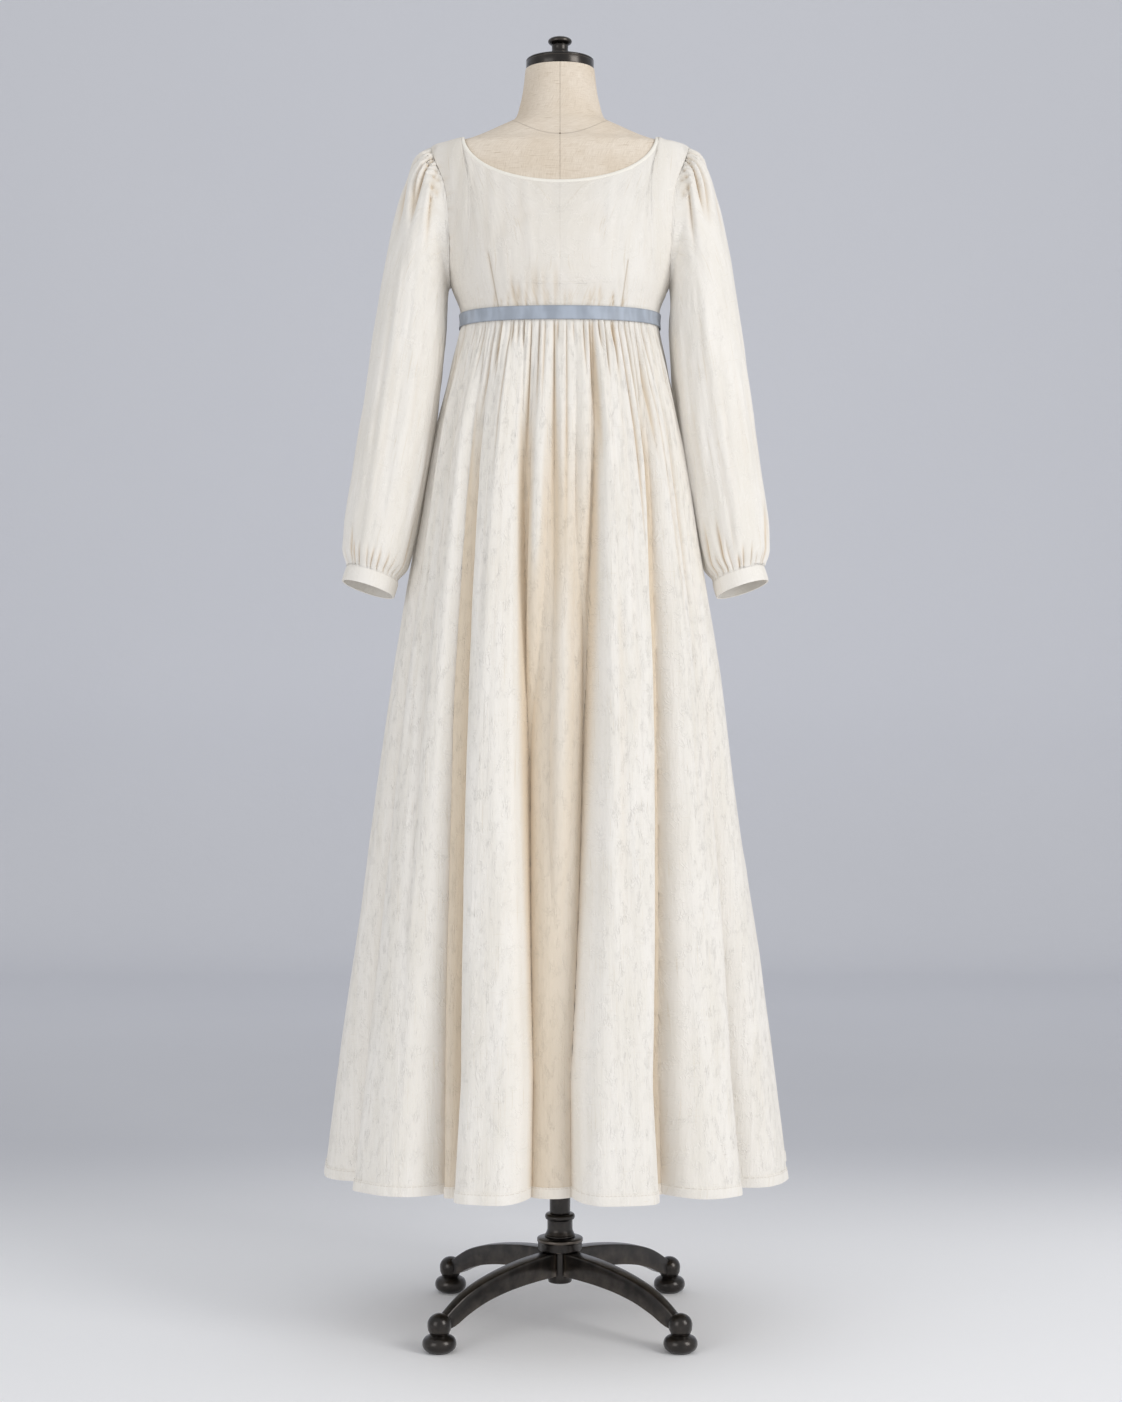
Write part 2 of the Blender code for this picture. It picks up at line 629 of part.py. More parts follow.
# ---- dress form -----------------------------------------------------------------------------------------
def form_tuck(angle, z):
    """How far the form lies inside the body that the bodice is cut for: nothing where it shows."""
    x = min(abs(body_skin(angle, z).x), NECK_HALF_WIDTH)
    drop = FRONT_NECK_DROP if sin(angle) < 0 else BACK_NECK_DROP
    edge = NECK_POINT_Z - drop * sqrt(1 - (x / NECK_HALF_WIDTH) ** 2)
    least = LEAST_TUCK if z < NECK_BASE_Z else 0.0
    return min(TUCK_MOST, max(least, (edge - BINDING_WIDTH - z) * TUCK_SLOPE))


def build_form(group):
    rings = []
    for z in FORM_LEVELS:
        ring = []
        for i in range(FORM_COUNT):
            angle = 2 * pi * i / FORM_COUNT
            p = body_point(angle, z, -form_tuck(angle, z))
            p.x = max(-ARM_PLATE_X, min(ARM_PLATE_X, p.x))
            ring.append(p)
        rings.append(ring)
    low = [Vector((p.x * FORM_LOW_WIDTH, p.y * FORM_LOW_DEPTH, FORM_BOTTOM_Z)) for p in rings[0]]
    mesh = loft("dress_form", [low] + rings)
    mesh.shade_smooth()
    mesh.set_sharp_from_angle(angle=radians(50))
    add_object("dress_form", mesh, "form_linen", group)


def build_cap(group):
    low = NECK_TOP_Z + SEAM
    high = low + CAP_HEIGHT
    flat = CAP_RADIUS - 3 * CAP_EDGE
    profile = [(0.0, high + CAP_DOME), (0.012, high + CAP_DOME), (flat, high)]
    profile += arc(CAP_RADIUS - CAP_EDGE, high - CAP_EDGE, CAP_EDGE, CAP_EDGE, 80, 0, 2)
    profile += [(CAP_RADIUS, low + CAP_EDGE), (CAP_RADIUS - CAP_EDGE, low), (0.0, low)]
    turned("neck_cap", profile, "bronze_metal", group)
    base = high + CAP_DOME + SEAM
    profile = [(0.0, KNOB_TOP_Z)] + arc(0.0063, KNOB_TOP_Z - 0.0055, 0.0100, 0.0055, 90, -75, 5)
    profile += [(0.0104, KNOB_TOP_Z - 0.0135), (0.0112, base + 0.0080)]
    profile += arc(0.0105, base + 0.0038, 0.0036, 0.0038, 80, -80, 4)
    profile += [(0.0, base)]
    turned("cap_knob", profile, "bronze_metal", group, steps=SMALL_TURN_STEPS)


def build_pole(group):
    """Socket under the form, pole and the collar that clamps it."""
    top = FORM_BOTTOM_Z - SEAM
    low = top - SOCKET_DEPTH
    profile = [(0.0, top), (SOCKET_RADIUS, top), (SOCKET_RADIUS, top - SOCKET_FLANGE),
               (0.024, top - 0.010), (0.022, low), (0.0, low)]
    turned("form_socket", profile, "bronze_metal", group)
    pole_top, pole_low = low - SEAM, COLLAR_TOP_Z + SEAM
    profile = [(0.0, pole_top), (POLE_RADIUS, pole_top), (POLE_RADIUS, pole_low), (0.0, pole_low)]
    turned("stand_pole", profile, "bronze_metal", group)
    low, high = HUB_TOP_Z + SEAM, COLLAR_TOP_Z
    profile = [(0.0, high), (0.0168, high)]
    profile += arc(0.0170, high - 0.0042, 0.0034, 0.0042, 60, -70, 4)
    profile += [(0.0166, high - 0.0094), (0.0168, low + 0.0130), (0.0180, low + 0.0068),
                (0.0192, low + 0.0044), (0.0204, low + 0.0026), (0.0210, low + 0.0018),
                (0.0210, low), (0.0, low)]
    turned("pole_collar", profile, "bronze_metal", group, steps=SMALL_TURN_STEPS)


def build_base(group):
    """Hub with its rim and boss, and the four legs on their feet."""
    rim_low = HUB_TOP_Z - HUB_RIM_DEPTH
    profile = [(0.0, HUB_TOP_Z), (0.0230, HUB_TOP_Z), (HUB_RADIUS - 0.0006, HUB_TOP_Z - 0.0016),
               (HUB_RADIUS, HUB_TOP_Z - 0.0056), (HUB_RADIUS - 0.0014, HUB_TOP_Z - 0.0070),
               (HUB_RADIUS - 0.0014, rim_low + 0.0014), (HUB_RADIUS - 0.0036, rim_low),
               (HUB_BOSS_RADIUS + 0.0002, rim_low), (HUB_BOSS_RADIUS, HUB_LOW_Z + 0.0037),
               (HUB_BOSS_RADIUS - 0.0016, HUB_LOW_Z), (0.0, HUB_LOW_Z)]
    turned("base_hub", profile, "bronze_metal", group)
    for name, angle in LEG_ANGLES.items():
        build_leg(f"leg_{name}", angle, group)
        build_foot(f"foot_{name}", angle, group)


def leg_rings():
    """Sections of a leg along +X: a box with its upper edges bevelled."""
    rings = []
    for section in LEG_SECTIONS:
        reach, top, low = section["reach"], section["top_z"], section["bottom_z"]
        half, bevel = section["width"] / 2, section["width"] * LEG_BEVEL
        rings.append([Vector((reach, -half, low)), Vector((reach, half, low)),
                      Vector((reach, half, top - bevel)), Vector((reach, half - bevel, top)),
                      Vector((reach, -half + bevel, top)), Vector((reach, -half, top - bevel))])
    return rings


def build_leg(name, angle_deg, group):
    """A leg with its knuckle, one solid."""
    obj = add_object(name, loft(name, leg_rings()), "bronze_metal", group)
    knuckle_low = FOOT_HEIGHT + SEAM
    profile = [(0.0, 0.0500)] + arc(0.0, 0.0355, KNUCKLE_RADIUS, 0.0145, 66, 0, 3)
    profile += [(KNUCKLE_RADIUS - 0.0005, 0.0290), (KNUCKLE_RADIUS - 0.0030, knuckle_low), (0.0, knuckle_low)]
    place = (FOOT_REACH, 0.0, 0.0)
    knuckle = turned(f"{name}_knuckle", profile, "bronze_metal", CUTTERS, place, SMALL_TURN_STEPS)
    knuckle.hide_render = True
    knuckle.display_type = "WIRE"
    knuckle.parent = obj
    join = obj.modifiers.new("Knuckle", "BOOLEAN")
    join.operation = "UNION"
    join.object = knuckle
    obj.rotation_euler.z = radians(angle_deg)


def build_foot(name, angle_deg, group):
    """A bun foot, flat where it stands."""
    side = 0.0095
    profile = [(0.0, FOOT_HEIGHT), (0.0120, FOOT_HEIGHT)]
    profile += arc(FOOT_RADIUS - side, FOOT_HEIGHT / 2, side, FOOT_HEIGHT / 2 - 0.0006, 60, -60, 4)
    profile += [(0.0150, 0.0), (0.0, 0.0)]
    angle = radians(angle_deg)
    place = (FOOT_REACH * cos(angle), FOOT_REACH * sin(angle), 0.0)
    turned(name, profile, "bronze_metal", group, place, SMALL_TURN_STEPS)


clear_scene()
PARTS = collection("regency_gown_on_dress_form")
CUTTERS = collection("cutters")
build_skirt(PARTS)
build_ribbon(PARTS)
build_bodice(PARTS)
build_binding(PARTS)
build_sleeves(PARTS)
build_form(PARTS)
build_cap(PARTS)
build_pole(PARTS)
build_base(PARTS)
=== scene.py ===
"""Regency gown on a dress form: an ivory crinkled gown with a satin waist ribbon, on its linen form.

Metres, +Z up, +X to the wearer's left, -Y to the front. Each operator makes one group of pieces.
"""
from math import cos, pi, radians, sin

import bpy
import numpy as np
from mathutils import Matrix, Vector


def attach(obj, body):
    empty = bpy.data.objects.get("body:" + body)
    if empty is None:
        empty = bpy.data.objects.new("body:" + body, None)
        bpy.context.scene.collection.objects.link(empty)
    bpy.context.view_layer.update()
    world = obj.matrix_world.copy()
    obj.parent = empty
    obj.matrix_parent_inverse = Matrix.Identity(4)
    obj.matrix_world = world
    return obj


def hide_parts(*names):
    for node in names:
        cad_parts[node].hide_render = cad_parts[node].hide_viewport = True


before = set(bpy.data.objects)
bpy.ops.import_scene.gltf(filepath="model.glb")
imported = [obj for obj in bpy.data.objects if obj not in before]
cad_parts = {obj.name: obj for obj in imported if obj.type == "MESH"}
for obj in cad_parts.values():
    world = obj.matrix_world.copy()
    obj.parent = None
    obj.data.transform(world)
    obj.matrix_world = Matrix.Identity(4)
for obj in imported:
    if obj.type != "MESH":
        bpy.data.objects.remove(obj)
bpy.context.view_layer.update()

bl_info = {
    "name": "Regency gown on a dress form",
    "version": (1, 0, 0),
    "blender": (4, 5, 0),
    "location": "View3D > Sidebar > Gown",
    "description": "Makes a gathered empire gown, its linen dress form and bronze stand",
    "category": "Object",
}

# ---- gown, the sizes that its cloth is cut and sewn to ----
WALL = 0.0013              # one layer of gown cloth
BAND_WALL = 0.0022         # turned layers of the cuffs and the hem
RIBBON_WALL = 0.0010
SEAM = 0.0003              # gap between pieces that meet
EASE = 0.0004              # gap between two panels' edges at a seam
CENTRE_GAP = 0.00004       # from the middle to each panel's edge at the centre seams
SHOULDER_Z = 1.5915        # tip of the shoulder seam
NECK_HALF_WIDTH = 0.129    # neck points, on the shoulder seam
NECK_POINT_Z = 1.6025
FRONT_NECK_DROP = 0.0725
BACK_NECK_DROP = 0.0465
BINDING_WIDTH = 0.0040
BINDING_WALL = 0.0016
BINDING_OUT = 0.0010       # from the form to the binding's middle at its edges
BINDING_ROUND = 0.0010     # how much farther out it is between them
WAIST_Z = 1.3560           # seam of bodice and skirt, under the ribbon
WAIST_DIP = 0.0025         # how far the seam dips at the centre front
RIBBON_WIDTH = 0.0180
UNDERARM_Z = 1.405
HEM_Z = 0.2060
HEM_DEPTH = 0.0140
FORM_GAP = 0.0007          # between the form and the cloth that lies on it
CLOTH_OUT = FORM_GAP + WALL / 2

SIDE_SIGN = {"front": -1, "back": 1}     # of Y
NECK_DROP = {"front": FRONT_NECK_DROP, "back": BACK_NECK_DROP}

# ---- form and stand ----
FORM_BOTTOM_Z = 0.930
NECK_TOP_Z = 1.6985
ARM_PLATE_X = 0.156        # flat sides where arms would be
CAP_RADIUS = 0.046
CAP_HEIGHT = 0.0150
KNOB_TOP_Z = 1.744
POLE_RADIUS = 0.0141
HUB_RADIUS = 0.0312
HUB_TOP_Z = 0.1145
COLLAR_TOP_Z = 0.1460
FOOT_REACH = 0.2206        # from the pole's axis to a foot's axis
FOOT_HEIGHT = 0.0230
FOOT_RADIUS = 0.0222
KNUCKLE_RADIUS = 0.0155

# ---- body that the bodice is cut for: a row for each level ----
BODY_COLUMNS = ("z", "half_width", "front", "back")
BODY = (
    (0.930, 0.143, 0.090, 0.096),
    (1.020, 0.152, 0.096, 0.106),
    (1.110, 0.142, 0.090, 0.100),
    (1.210, 0.118, 0.080, 0.082),
    (1.290, 0.124, 0.092, 0.090),
    (1.345, 0.1312, 0.1000, 0.1000),
    (1.366, 0.1325, 0.1025, 0.1010),
    (1.405, 0.1462, 0.1150, 0.1040),
    (1.450, 0.1610, 0.117, 0.107),
    (1.500, 0.1760, 0.105, 0.111),
    (1.530, 0.1810, 0.091, 0.110),
    (1.568, 0.1860, 0.075, 0.101),
    (1.5915, 0.1742, 0.067, 0.088),
    (1.6025, 0.1292, 0.062, 0.076),
    (1.6180, 0.0895, 0.059, 0.068),
    (1.6325, 0.0605, 0.056, 0.060),
    (1.650, 0.0546, 0.053, 0.056),
    (1.670, 0.0503, 0.051, 0.053),
    (1.6985, 0.0470, 0.049, 0.050),
)
BODY_POWER = 2.2           # 2 is an ellipse, more is squarer

# ---- armhole seam, seen from the front ----
ARMHOLE_MIDDLE = (SHOULDER_Z + UNDERARM_Z) / 2
ARMHOLE_HALF = (SHOULDER_Z - UNDERARM_Z) / 2
ARMHOLE_COLUMNS = ("z", "x")
ARMHOLE = (
    (UNDERARM_Z, 0.1462),
    (1.43, 0.1460),
    (1.48, 0.1472),
    (1.53, 0.1532),
    (1.568, 0.1665),
    (SHOULDER_Z, 0.1742),
)

# ---- skirt: a row for each level, from the waist to the hem ----
SKIRT_COLUMNS = ("z", "half_width", "half_depth", "fold")
SKIRT = (
    (WAIST_Z, 0.1328, 0.1020, 0.00),
    (1.338, 0.1352, 0.1035, 0.01),
    (1.316, 0.1412, 0.1080, 0.03),
    (1.270, 0.1530, 0.1190, 0.07),
    (1.190, 0.1735, 0.1320, 0.13),
    (1.060, 0.1970, 0.1500, 0.20),
    (0.880, 0.2270, 0.1750, 0.27),
    (0.660, 0.2575, 0.1990, 0.33),
    (0.430, 0.2905, 0.2230, 0.38),
    (HEM_Z, 0.3200, 0.2440, 0.41),
)

# ---- big folds of the skirt ----
# Degrees from +X at the waist and at the hem, half width in degrees at the waist, half widths at the
# hem towards lower and towards higher angles, and how far each stands out.
FOLDS = (
    (181, 182, 17.5, 17.5, 23.0, 0.98),
    (213, 216.5, 15.0, 8.5, 21.5, 0.97),
    (241, 254, 10.2, 12.0, 9.2, 0.98),
    (300.6, 283.5, 12.6, 11.1, 12.4, 1.00),
    (328, 312.0, 11.5, 12.4, 10.0, 0.97),
    (338, 341.0, 10.0, 17.5, 16.0, 0.94),
    (16, 15.5, 12.5, 12.5, 13.5, 0.98),
    (41, 42, 13.5, 12.0, 13.0, 0.95),
    (68, 69, 13.0, 13.0, 12.0, 1.00),
    (95, 96, 13.5, 13.5, 12.5, 0.96),
    (122, 122.5, 12.5, 13.0, 12.0, 1.00),
    (148, 147.5, 12.0, 12.0, 13.0, 0.95),
)
FOLD_FLATNESS = 4.0        # 2 is a round fold, more is flatter in front
FOLD_POWER = 0.55          # how steeply its sides fall
FOLD_SETTLE = 1.15         # a fold has reached its place at the hem before the hem
FOLD_EDGE = 0.84           # share of a fold's half width that is its face
NEAR_FOOT = 0.35           # painted shade at the foot of a fold's lower-angle side, 1 at the other
FOOT_FADE = 1.1            # how soon that shade fades, in half widths
RIM_AT = 0.80              # share of a fold's height where the highlight painted along its rim lies, and that highlight's spread and strength
RIM_SPREAD = 0.08
RIM_LIGHT = 0.45
CREASE_SHADE = 0.22
GATHER_SHADE = 1.35
DEEPEST_GATHER = 0.0074    # of the gathers at the waist, the cuffs and the bodice's lower edge
DEEPEST_CUFF_PUCKER = 0.0048
FULL_SHADE_HEAD_GATHER = 0.0042  # depth of a gather at the sleeve's head whose painted shade is as strong as a deep fold's
DEEPEST_BODICE_PUCKER = 0.0018
LESSER_FADE = 0.40         # share of a lesser fold's length after which it fades
LESSER_POWER = 0.75        # how steeply a lesser fold's sides fall

# ---- sleeve and cuff, on the wearer's left ----
# A row for each ring after the armhole: x and z of the outer point, x and z of the inner point, y of
# the middle, half depth, and how much lower the back hangs than the front, per metre of depth.
SLEEVE = (
    (0.1838, 1.5888, 0.1512, 1.4010, 0.000, 0.0660, 0.00),
    (0.1962, 1.5762, 0.1522, 1.3930, -0.001, 0.0680, 0.00),
    (0.2108, 1.5400, 0.1528, 1.3820, -0.003, 0.0690, 0.00),
    (0.2232, 1.4940, 0.1530, 1.3680, -0.006, 0.0670, 0.01),
    (0.2340, 1.4400, 0.1532, 1.3480, -0.009, 0.0630, 0.02),
    (0.2450, 1.3650, 0.1556, 1.3100, -0.014, 0.0580, 0.04),
    (0.2590, 1.2650, 0.1645, 1.2300, -0.024, 0.0540, 0.07),
    (0.2740, 1.1640, 0.1800, 1.1320, -0.032, 0.0510, 0.10),
    (0.2855, 1.0800, 0.1945, 1.0500, -0.037, 0.0480, 0.13),
    (0.2880, 1.0440, 0.2035, 1.0180, -0.040, 0.0440, 0.15),
    (0.2835, 1.0272, 0.2140, 1.0058, -0.041, 0.0365, 0.16),
    (0.2825, 1.0216, 0.2155, 1.0008, -0.0415, 0.0345, 0.16),
)
CUFF = (
    (0.2825, 1.0204, 0.2155, 0.9996, -0.0415, 0.0345, 0.16),
    (0.2880, 1.0022, 0.2205, 0.9814, -0.0445, 0.0350, 0.16),
)
SLEEVE_SWING = {"left": -0.009, "right": 0.003}   # outward at the cuff, for the wearer's side

# ---- stand's leg: a row for each section out from the pole ----
LEG_COLUMNS = ("reach", "top_z", "bottom_z", "width")
LEG = (
    (0.0172, 0.0960, 0.0640, 0.022),
    (0.0600, 0.0935, 0.0630, 0.022),
    (0.1000, 0.0885, 0.0600, 0.021),
    (0.1400, 0.0805, 0.0530, 0.019),
    (0.1750, 0.0690, 0.0415, 0.017),
    (0.2000, 0.0555, 0.0300, 0.015),
    (0.2180, 0.0430, 0.0260, 0.013),
)


# ---- reading the tables ----
def table(columns, rows):
    """A table as a dictionary of columns."""
    return {name: np.array([row[i] for row in rows], float) for i, name in enumerate(columns)}


def smooth_read(x, xs, ys):
    """Read columns at every x on smooth curves through their rows (monotone cubic)."""
    order = np.argsort(xs)
    xs, ys = np.asarray(xs, float)[order], np.asarray(ys, float)[order]
    step = np.diff(xs).reshape((-1,) + (1,) * (ys.ndim - 1))
    rise = np.diff(ys, axis=0) / step
    before, after = rise[:-1], rise[1:]
    w1, w2 = 2 * step[1:] + step[:-1], step[1:] + 2 * step[:-1]
    same = before * after > 0
    safe_before, safe_after = np.where(same, before, 1.0), np.where(same, after, 1.0)
    slope = np.zeros_like(ys)
    slope[0], slope[-1] = rise[0], rise[-1]
    slope[1:-1] = np.where(same, (w1 + w2) / (w1 / safe_before + w2 / safe_after), 0.0)
    x = np.clip(np.asarray(x, float), xs[0], xs[-1])
    k = np.clip(np.searchsorted(xs, x, side="right") - 1, 0, len(xs) - 2)
    share = ((x - xs[k]) / np.diff(xs)[k]).reshape(x.shape + (1,) * (ys.ndim - 1))
    width, square, cube = step[k], share**2, share**3
    return (ys[k] * (2 * cube - 3 * square + 1) + slope[k] * width * (cube - 2 * square + share)
            + ys[k + 1] * (3 * square - 2 * cube) + slope[k + 1] * width * (cube - square))


BODY_TABLE = table(BODY_COLUMNS, BODY)
SKIRT_TABLE = table(SKIRT_COLUMNS, SKIRT)
ARMHOLE_TABLE = table(ARMHOLE_COLUMNS, ARMHOLE)
LEG_TABLE = table(LEG_COLUMNS, LEG)


def body(name, z):
    return smooth_read(z, BODY_TABLE["z"], BODY_TABLE[name])


def skirt(name, z):
    return smooth_read(z, SKIRT_TABLE["z"], SKIRT_TABLE[name])


def oval(angle, half_width, half_depth, z):
    """Points of level oval sections; -90 degrees is the front."""
    c, s = np.cos(angle), np.sin(angle)
    x = half_width * np.abs(c) ** (2 / BODY_POWER) * np.sign(c)
    y = half_depth * np.abs(s) ** (2 / BODY_POWER) * np.sign(s)
    return np.stack(np.broadcast_arrays(x, y, z), axis=-1)


def body_skin(angle, z):
    """Points of the body's surface."""
    depth = np.where(np.sin(angle) < 0, body("front", z), body("back", z))
    return oval(angle, body("half_width", z), depth, z)


def unit(vectors):
    """Vectors of the same direction, one long."""
    return vectors / np.maximum(np.linalg.norm(vectors, axis=-1, keepdims=True), 1e-12)


def body_normal(angle, z):
    around = body_skin(angle + 0.05, z) - body_skin(angle - 0.05, z)
    upward = body_skin(angle, z + 0.002) - body_skin(angle, z - 0.002)
    return unit(np.cross(around, upward))


def body_point(angle, z, out=0.0):
    """Points of the body moved out along the surface's normal."""
    return body_skin(angle, z) + body_normal(angle, z) * np.asarray(out)[..., None]


def body_angle(x, z):
    """The front angle at which the body is x wide at level z, from 0 at the side to pi/2."""
    share = np.minimum(np.abs(x) / body("half_width", z), 1.0)
    return np.arccos(share ** (BODY_POWER / 2))


def waist_z(angle):
    """Level of the waist seam: it dips a little at the centre front."""
    return WAIST_Z - WAIST_DIP * np.maximum(0.0, -np.sin(angle)) ** 2


def ease_in(x, start, end):
    """0 before start, 1 after end, smooth between them."""
    share = np.clip((x - start) / (end - start), 0.0, 1.0)
    return share * share * (3 - 2 * share)


NOISE_KNOTS = 211          # knots of the noise each way, after which it repeats


def hand_noise(u, v, seed, wrap=0):
    """Smooth noise from -1 to 1 over u and v, with a knot at each whole number; wrap closes u."""
    knots = np.random.default_rng(seed).uniform(-1, 1, (NOISE_KNOTS, NOISE_KNOTS))
    u0, v0 = np.floor(u).astype(int), np.floor(v).astype(int)
    fu, fv = u - u0, v - v0
    fu, fv = fu * fu * (3 - 2 * fu), fv * fv * (3 - 2 * fv)
    period = wrap or NOISE_KNOTS
    left, right = u0 % period, (u0 + 1) % period
    low, high = v0 % NOISE_KNOTS, (v0 + 1) % NOISE_KNOTS
    return ((knots[left, low] * (1 - fu) + knots[right, low] * fu) * (1 - fv)
            + (knots[left, high] * (1 - fu) + knots[right, high] * fu) * fv)


# ---- folds, gathers and puckers ----
# Folds between the big ones: degrees at the waist and at the hem, half width in degrees, how far each
# stands out beside a big fold, and two shares of the drop: the first sets where it begins to fade, and
# at the second it has faded.
LESSER_FOLDS = (
    (263.0, 259.0, 4.6, 0.80, 0.00, 0.56),
    (273.0, 267.5, 4.6, 0.72, 0.00, 1.10),
    (270.0, 267.5, 9.5, 0.50, 0.10, 9.00),
    (314.0, 298.0, 6.0, 0.45, 0.10, 9.00),
    (228.5, 241.5, 6.0, 0.70, 0.10, 9.00),
    (281.5, 268.0, 4.0, 0.62, 0.00, 0.40),
    (236.5, 236.0, 4.0, 0.70, 0.00, 0.42),
    (305.5, 297.0, 4.2, 0.80, 0.00, 0.50),
    (196.0, 201.0, 5.0, 0.70, 0.00, 0.75),
    (335.0, 323.0, 5.0, 0.75, 0.00, 0.70),
    (358.0, 357.0, 5.0, 0.70, 0.00, 0.62),
    (28.5, 28.5, 4.5, 0.72, 0.00, 0.65),
    (54.5, 55.5, 4.5, 0.75, 0.00, 0.60),
    (81.5, 82.5, 4.6, 0.80, 0.00, 0.72),
    (108.5, 109.0, 4.5, 0.74, 0.00, 0.66),
    (135.0, 135.0, 4.5, 0.75, 0.00, 0.58),
    (163.5, 163.0, 4.8, 0.70, 0.00, 0.70),
)
# Soft creases on the faces of the folds: degrees at the waist and at the hem, half width in degrees,
# height in metres (sunk if negative), and the shares of the drop where each starts and has faded.
CREASES = (
    (222.0, 239.0, 3.4, 0.0060, 0.04, 1.00),
    (213.0, 228.0, 2.2, -0.0045, 0.06, 1.00),
    (205.0, 220.0, 2.6, 0.0040, 0.04, 0.80),
    (249.0, 259.0, 1.8, -0.0030, 0.04, 0.70),
    (243.0, 252.0, 2.2, 0.0035, 0.02, 0.60),
    (299.0, 288.0, 2.0, -0.0030, 0.04, 0.66),
    (290.0, 278.0, 2.2, 0.0035, 0.02, 0.90),
    (294.0, 283.0, 1.6, -0.0022, 0.30, 1.00),
    (322.0, 303.0, 2.2, 0.0040, 0.04, 0.90),
    (329.0, 311.0, 2.0, -0.0035, 0.05, 0.90),
    (345.0, 345.0, 2.4, -0.0040, 0.05, 0.90),
    (188.0, 187.0, 2.4, -0.0040, 0.05, 0.90),
    (172.0, 173.0, 2.4, 0.0040, 0.05, 0.80),
    (10.0, 11.0, 2.2, -0.0040, 0.04, 0.80),
    (37.0, 38.0, 2.0, 0.0035, 0.04, 0.70),
    (46.0, 47.0, 2.0, -0.0035, 0.04, 0.90),
    (65.0, 66.0, 2.2, -0.0030, 0.04, 0.80),
    (73.0, 74.0, 2.0, 0.0030, 0.04, 0.70),
    (92.0, 93.0, 2.0, -0.0035, 0.04, 0.90),
    (100.0, 101.0, 2.0, 0.0035, 0.04, 0.60),
    (119.0, 119.0, 2.0, -0.0035, 0.04, 0.80),
    (127.0, 127.5, 2.0, 0.0030, 0.04, 0.90),
    (146.0, 146.0, 2.2, -0.0040, 0.04, 0.80),
)
WAIST_GATHERS = 104        # round the waist of the skirt
# Gathers over a sleeve's head: how far below the shoulder tip each leaves the seam, how far out it
# swings and how soon, its slant after that, its length and its depth.
HEAD_GATHERS = (
    (0.003, 0.0440, 0.012, 0.20, 0.075, 0.0026),
    (0.010, 0.0350, 0.012, 0.13, 0.140, 0.0050),
    (0.0145, 0.0300, 0.014, 0.10, 0.045, 0.0017),
    (0.018, 0.0270, 0.016, 0.05, 0.120, 0.0042),
    (0.022, 0.0120, 0.010, 0.20, 0.100, 0.0050),
    (0.027, 0.0080, 0.010, 0.12, 0.040, 0.0017),
    (0.032, 0.0050, 0.010, 0.08, 0.150, 0.0038),
    (0.037, 0.0045, 0.010, 0.05, 0.034, 0.0015),
    (0.042, 0.0040, 0.010, 0.03, 0.070, 0.0028),
    (0.050, 0.0030, 0.010, 0.02, 0.030, 0.0013),
    (0.060, 0.0020, 0.010, 0.02, 0.040, 0.0013),
)
SLEEVE_FOLDS = 16          # round each sleeve
CUFF_PUCKERS = 27          # round each cuff
BODICE_PUCKERS = 15        # along the lower edge of each half of the bodice
UPRIGHT_FOLDS = 6          # of each half of the bodice
EDGE_PUCKERS = 11          # along its side seam and armhole
FRONT_SHADE = 0.24         # painted shade over the whole front of the bodice, which fades out across the wearer's left side


def turn_apart(a, b):
    """Degrees from b to a, the short way round."""
    return (a - b + 180.0) % 360.0 - 180.0


def notch(away, width):
    """A soft crease's depth at so far from its middle, 1 in the middle."""
    return np.exp(-np.abs(away / width) ** 1.35)


def fading(along, length):
    """A gather's strength so far along it: whole near its root, nothing from its length on."""
    return 1 - ease_in(along, length * 0.3, length)


def gather_table(seed):
    """Each waist gather's angle, drift, depth, width and length, uneven as sewn by hand."""
    draw = np.random.default_rng(seed)
    turns = np.linspace(0.0, 360.0, WAIST_GATHERS, endpoint=False)
    return np.stack([
        turns + draw.uniform(-1.4, 1.4, WAIST_GATHERS),
        draw.uniform(-2.2, 2.2, WAIST_GATHERS),
        draw.uniform(0.0030, DEEPEST_GATHER, WAIST_GATHERS),
        draw.uniform(0.42, 0.75, WAIST_GATHERS),
        draw.choice([0.05, 0.09, 0.14, 0.24, 0.40], WAIST_GATHERS, p=[0.25, 0.3, 0.22, 0.13, 0.1]),
    ], axis=1)


def share_of_drop(level):
    """How far down the skirt a level lies, 0 at the waist and 1 at the hem."""
    return (WAIST_Z - level) / (WAIST_Z - HEM_Z)


def big_folds(angle, level):
    """Each big fold's distance in degrees, the same in half widths, and its height."""
    down = share_of_drop(level)
    for waist, hem, waist_half, low_half, high_half, height in FOLDS:
        middle = waist + (hem - waist) * np.minimum(1.0, down * FOLD_SETTLE)
        away = turn_apart(np.degrees(angle), middle)
        hem_half = np.where(away < 0, low_half, high_half)
        yield away, np.abs(away) / (waist_half + (hem_half - waist_half) * down), height


def fold_share(angle, level):
    """How far the folds stand out at an angle, 0 in a valley and 1 on a crest."""
    down = share_of_drop(level)
    share = np.zeros(np.broadcast(angle, level).shape)
    for _, reach, height in big_folds(angle, level):
        stands = np.clip(1.0 - reach**FOLD_FLATNESS, 0.0, 1.0) ** FOLD_POWER
        share = np.maximum(share, height * stands)
    for waist, hem, half, height, start, end in LESSER_FOLDS:
        reach = np.abs(turn_apart(np.degrees(angle), waist + (hem - waist) * down)) / half
        fade = 1.0 - ease_in(down, start + (end - start) * LESSER_FADE, end)
        stands = np.clip(1.0 - reach**2, 0.0, 1.0) ** LESSER_POWER
        share = np.maximum(share, height * fade * stands)
    return share


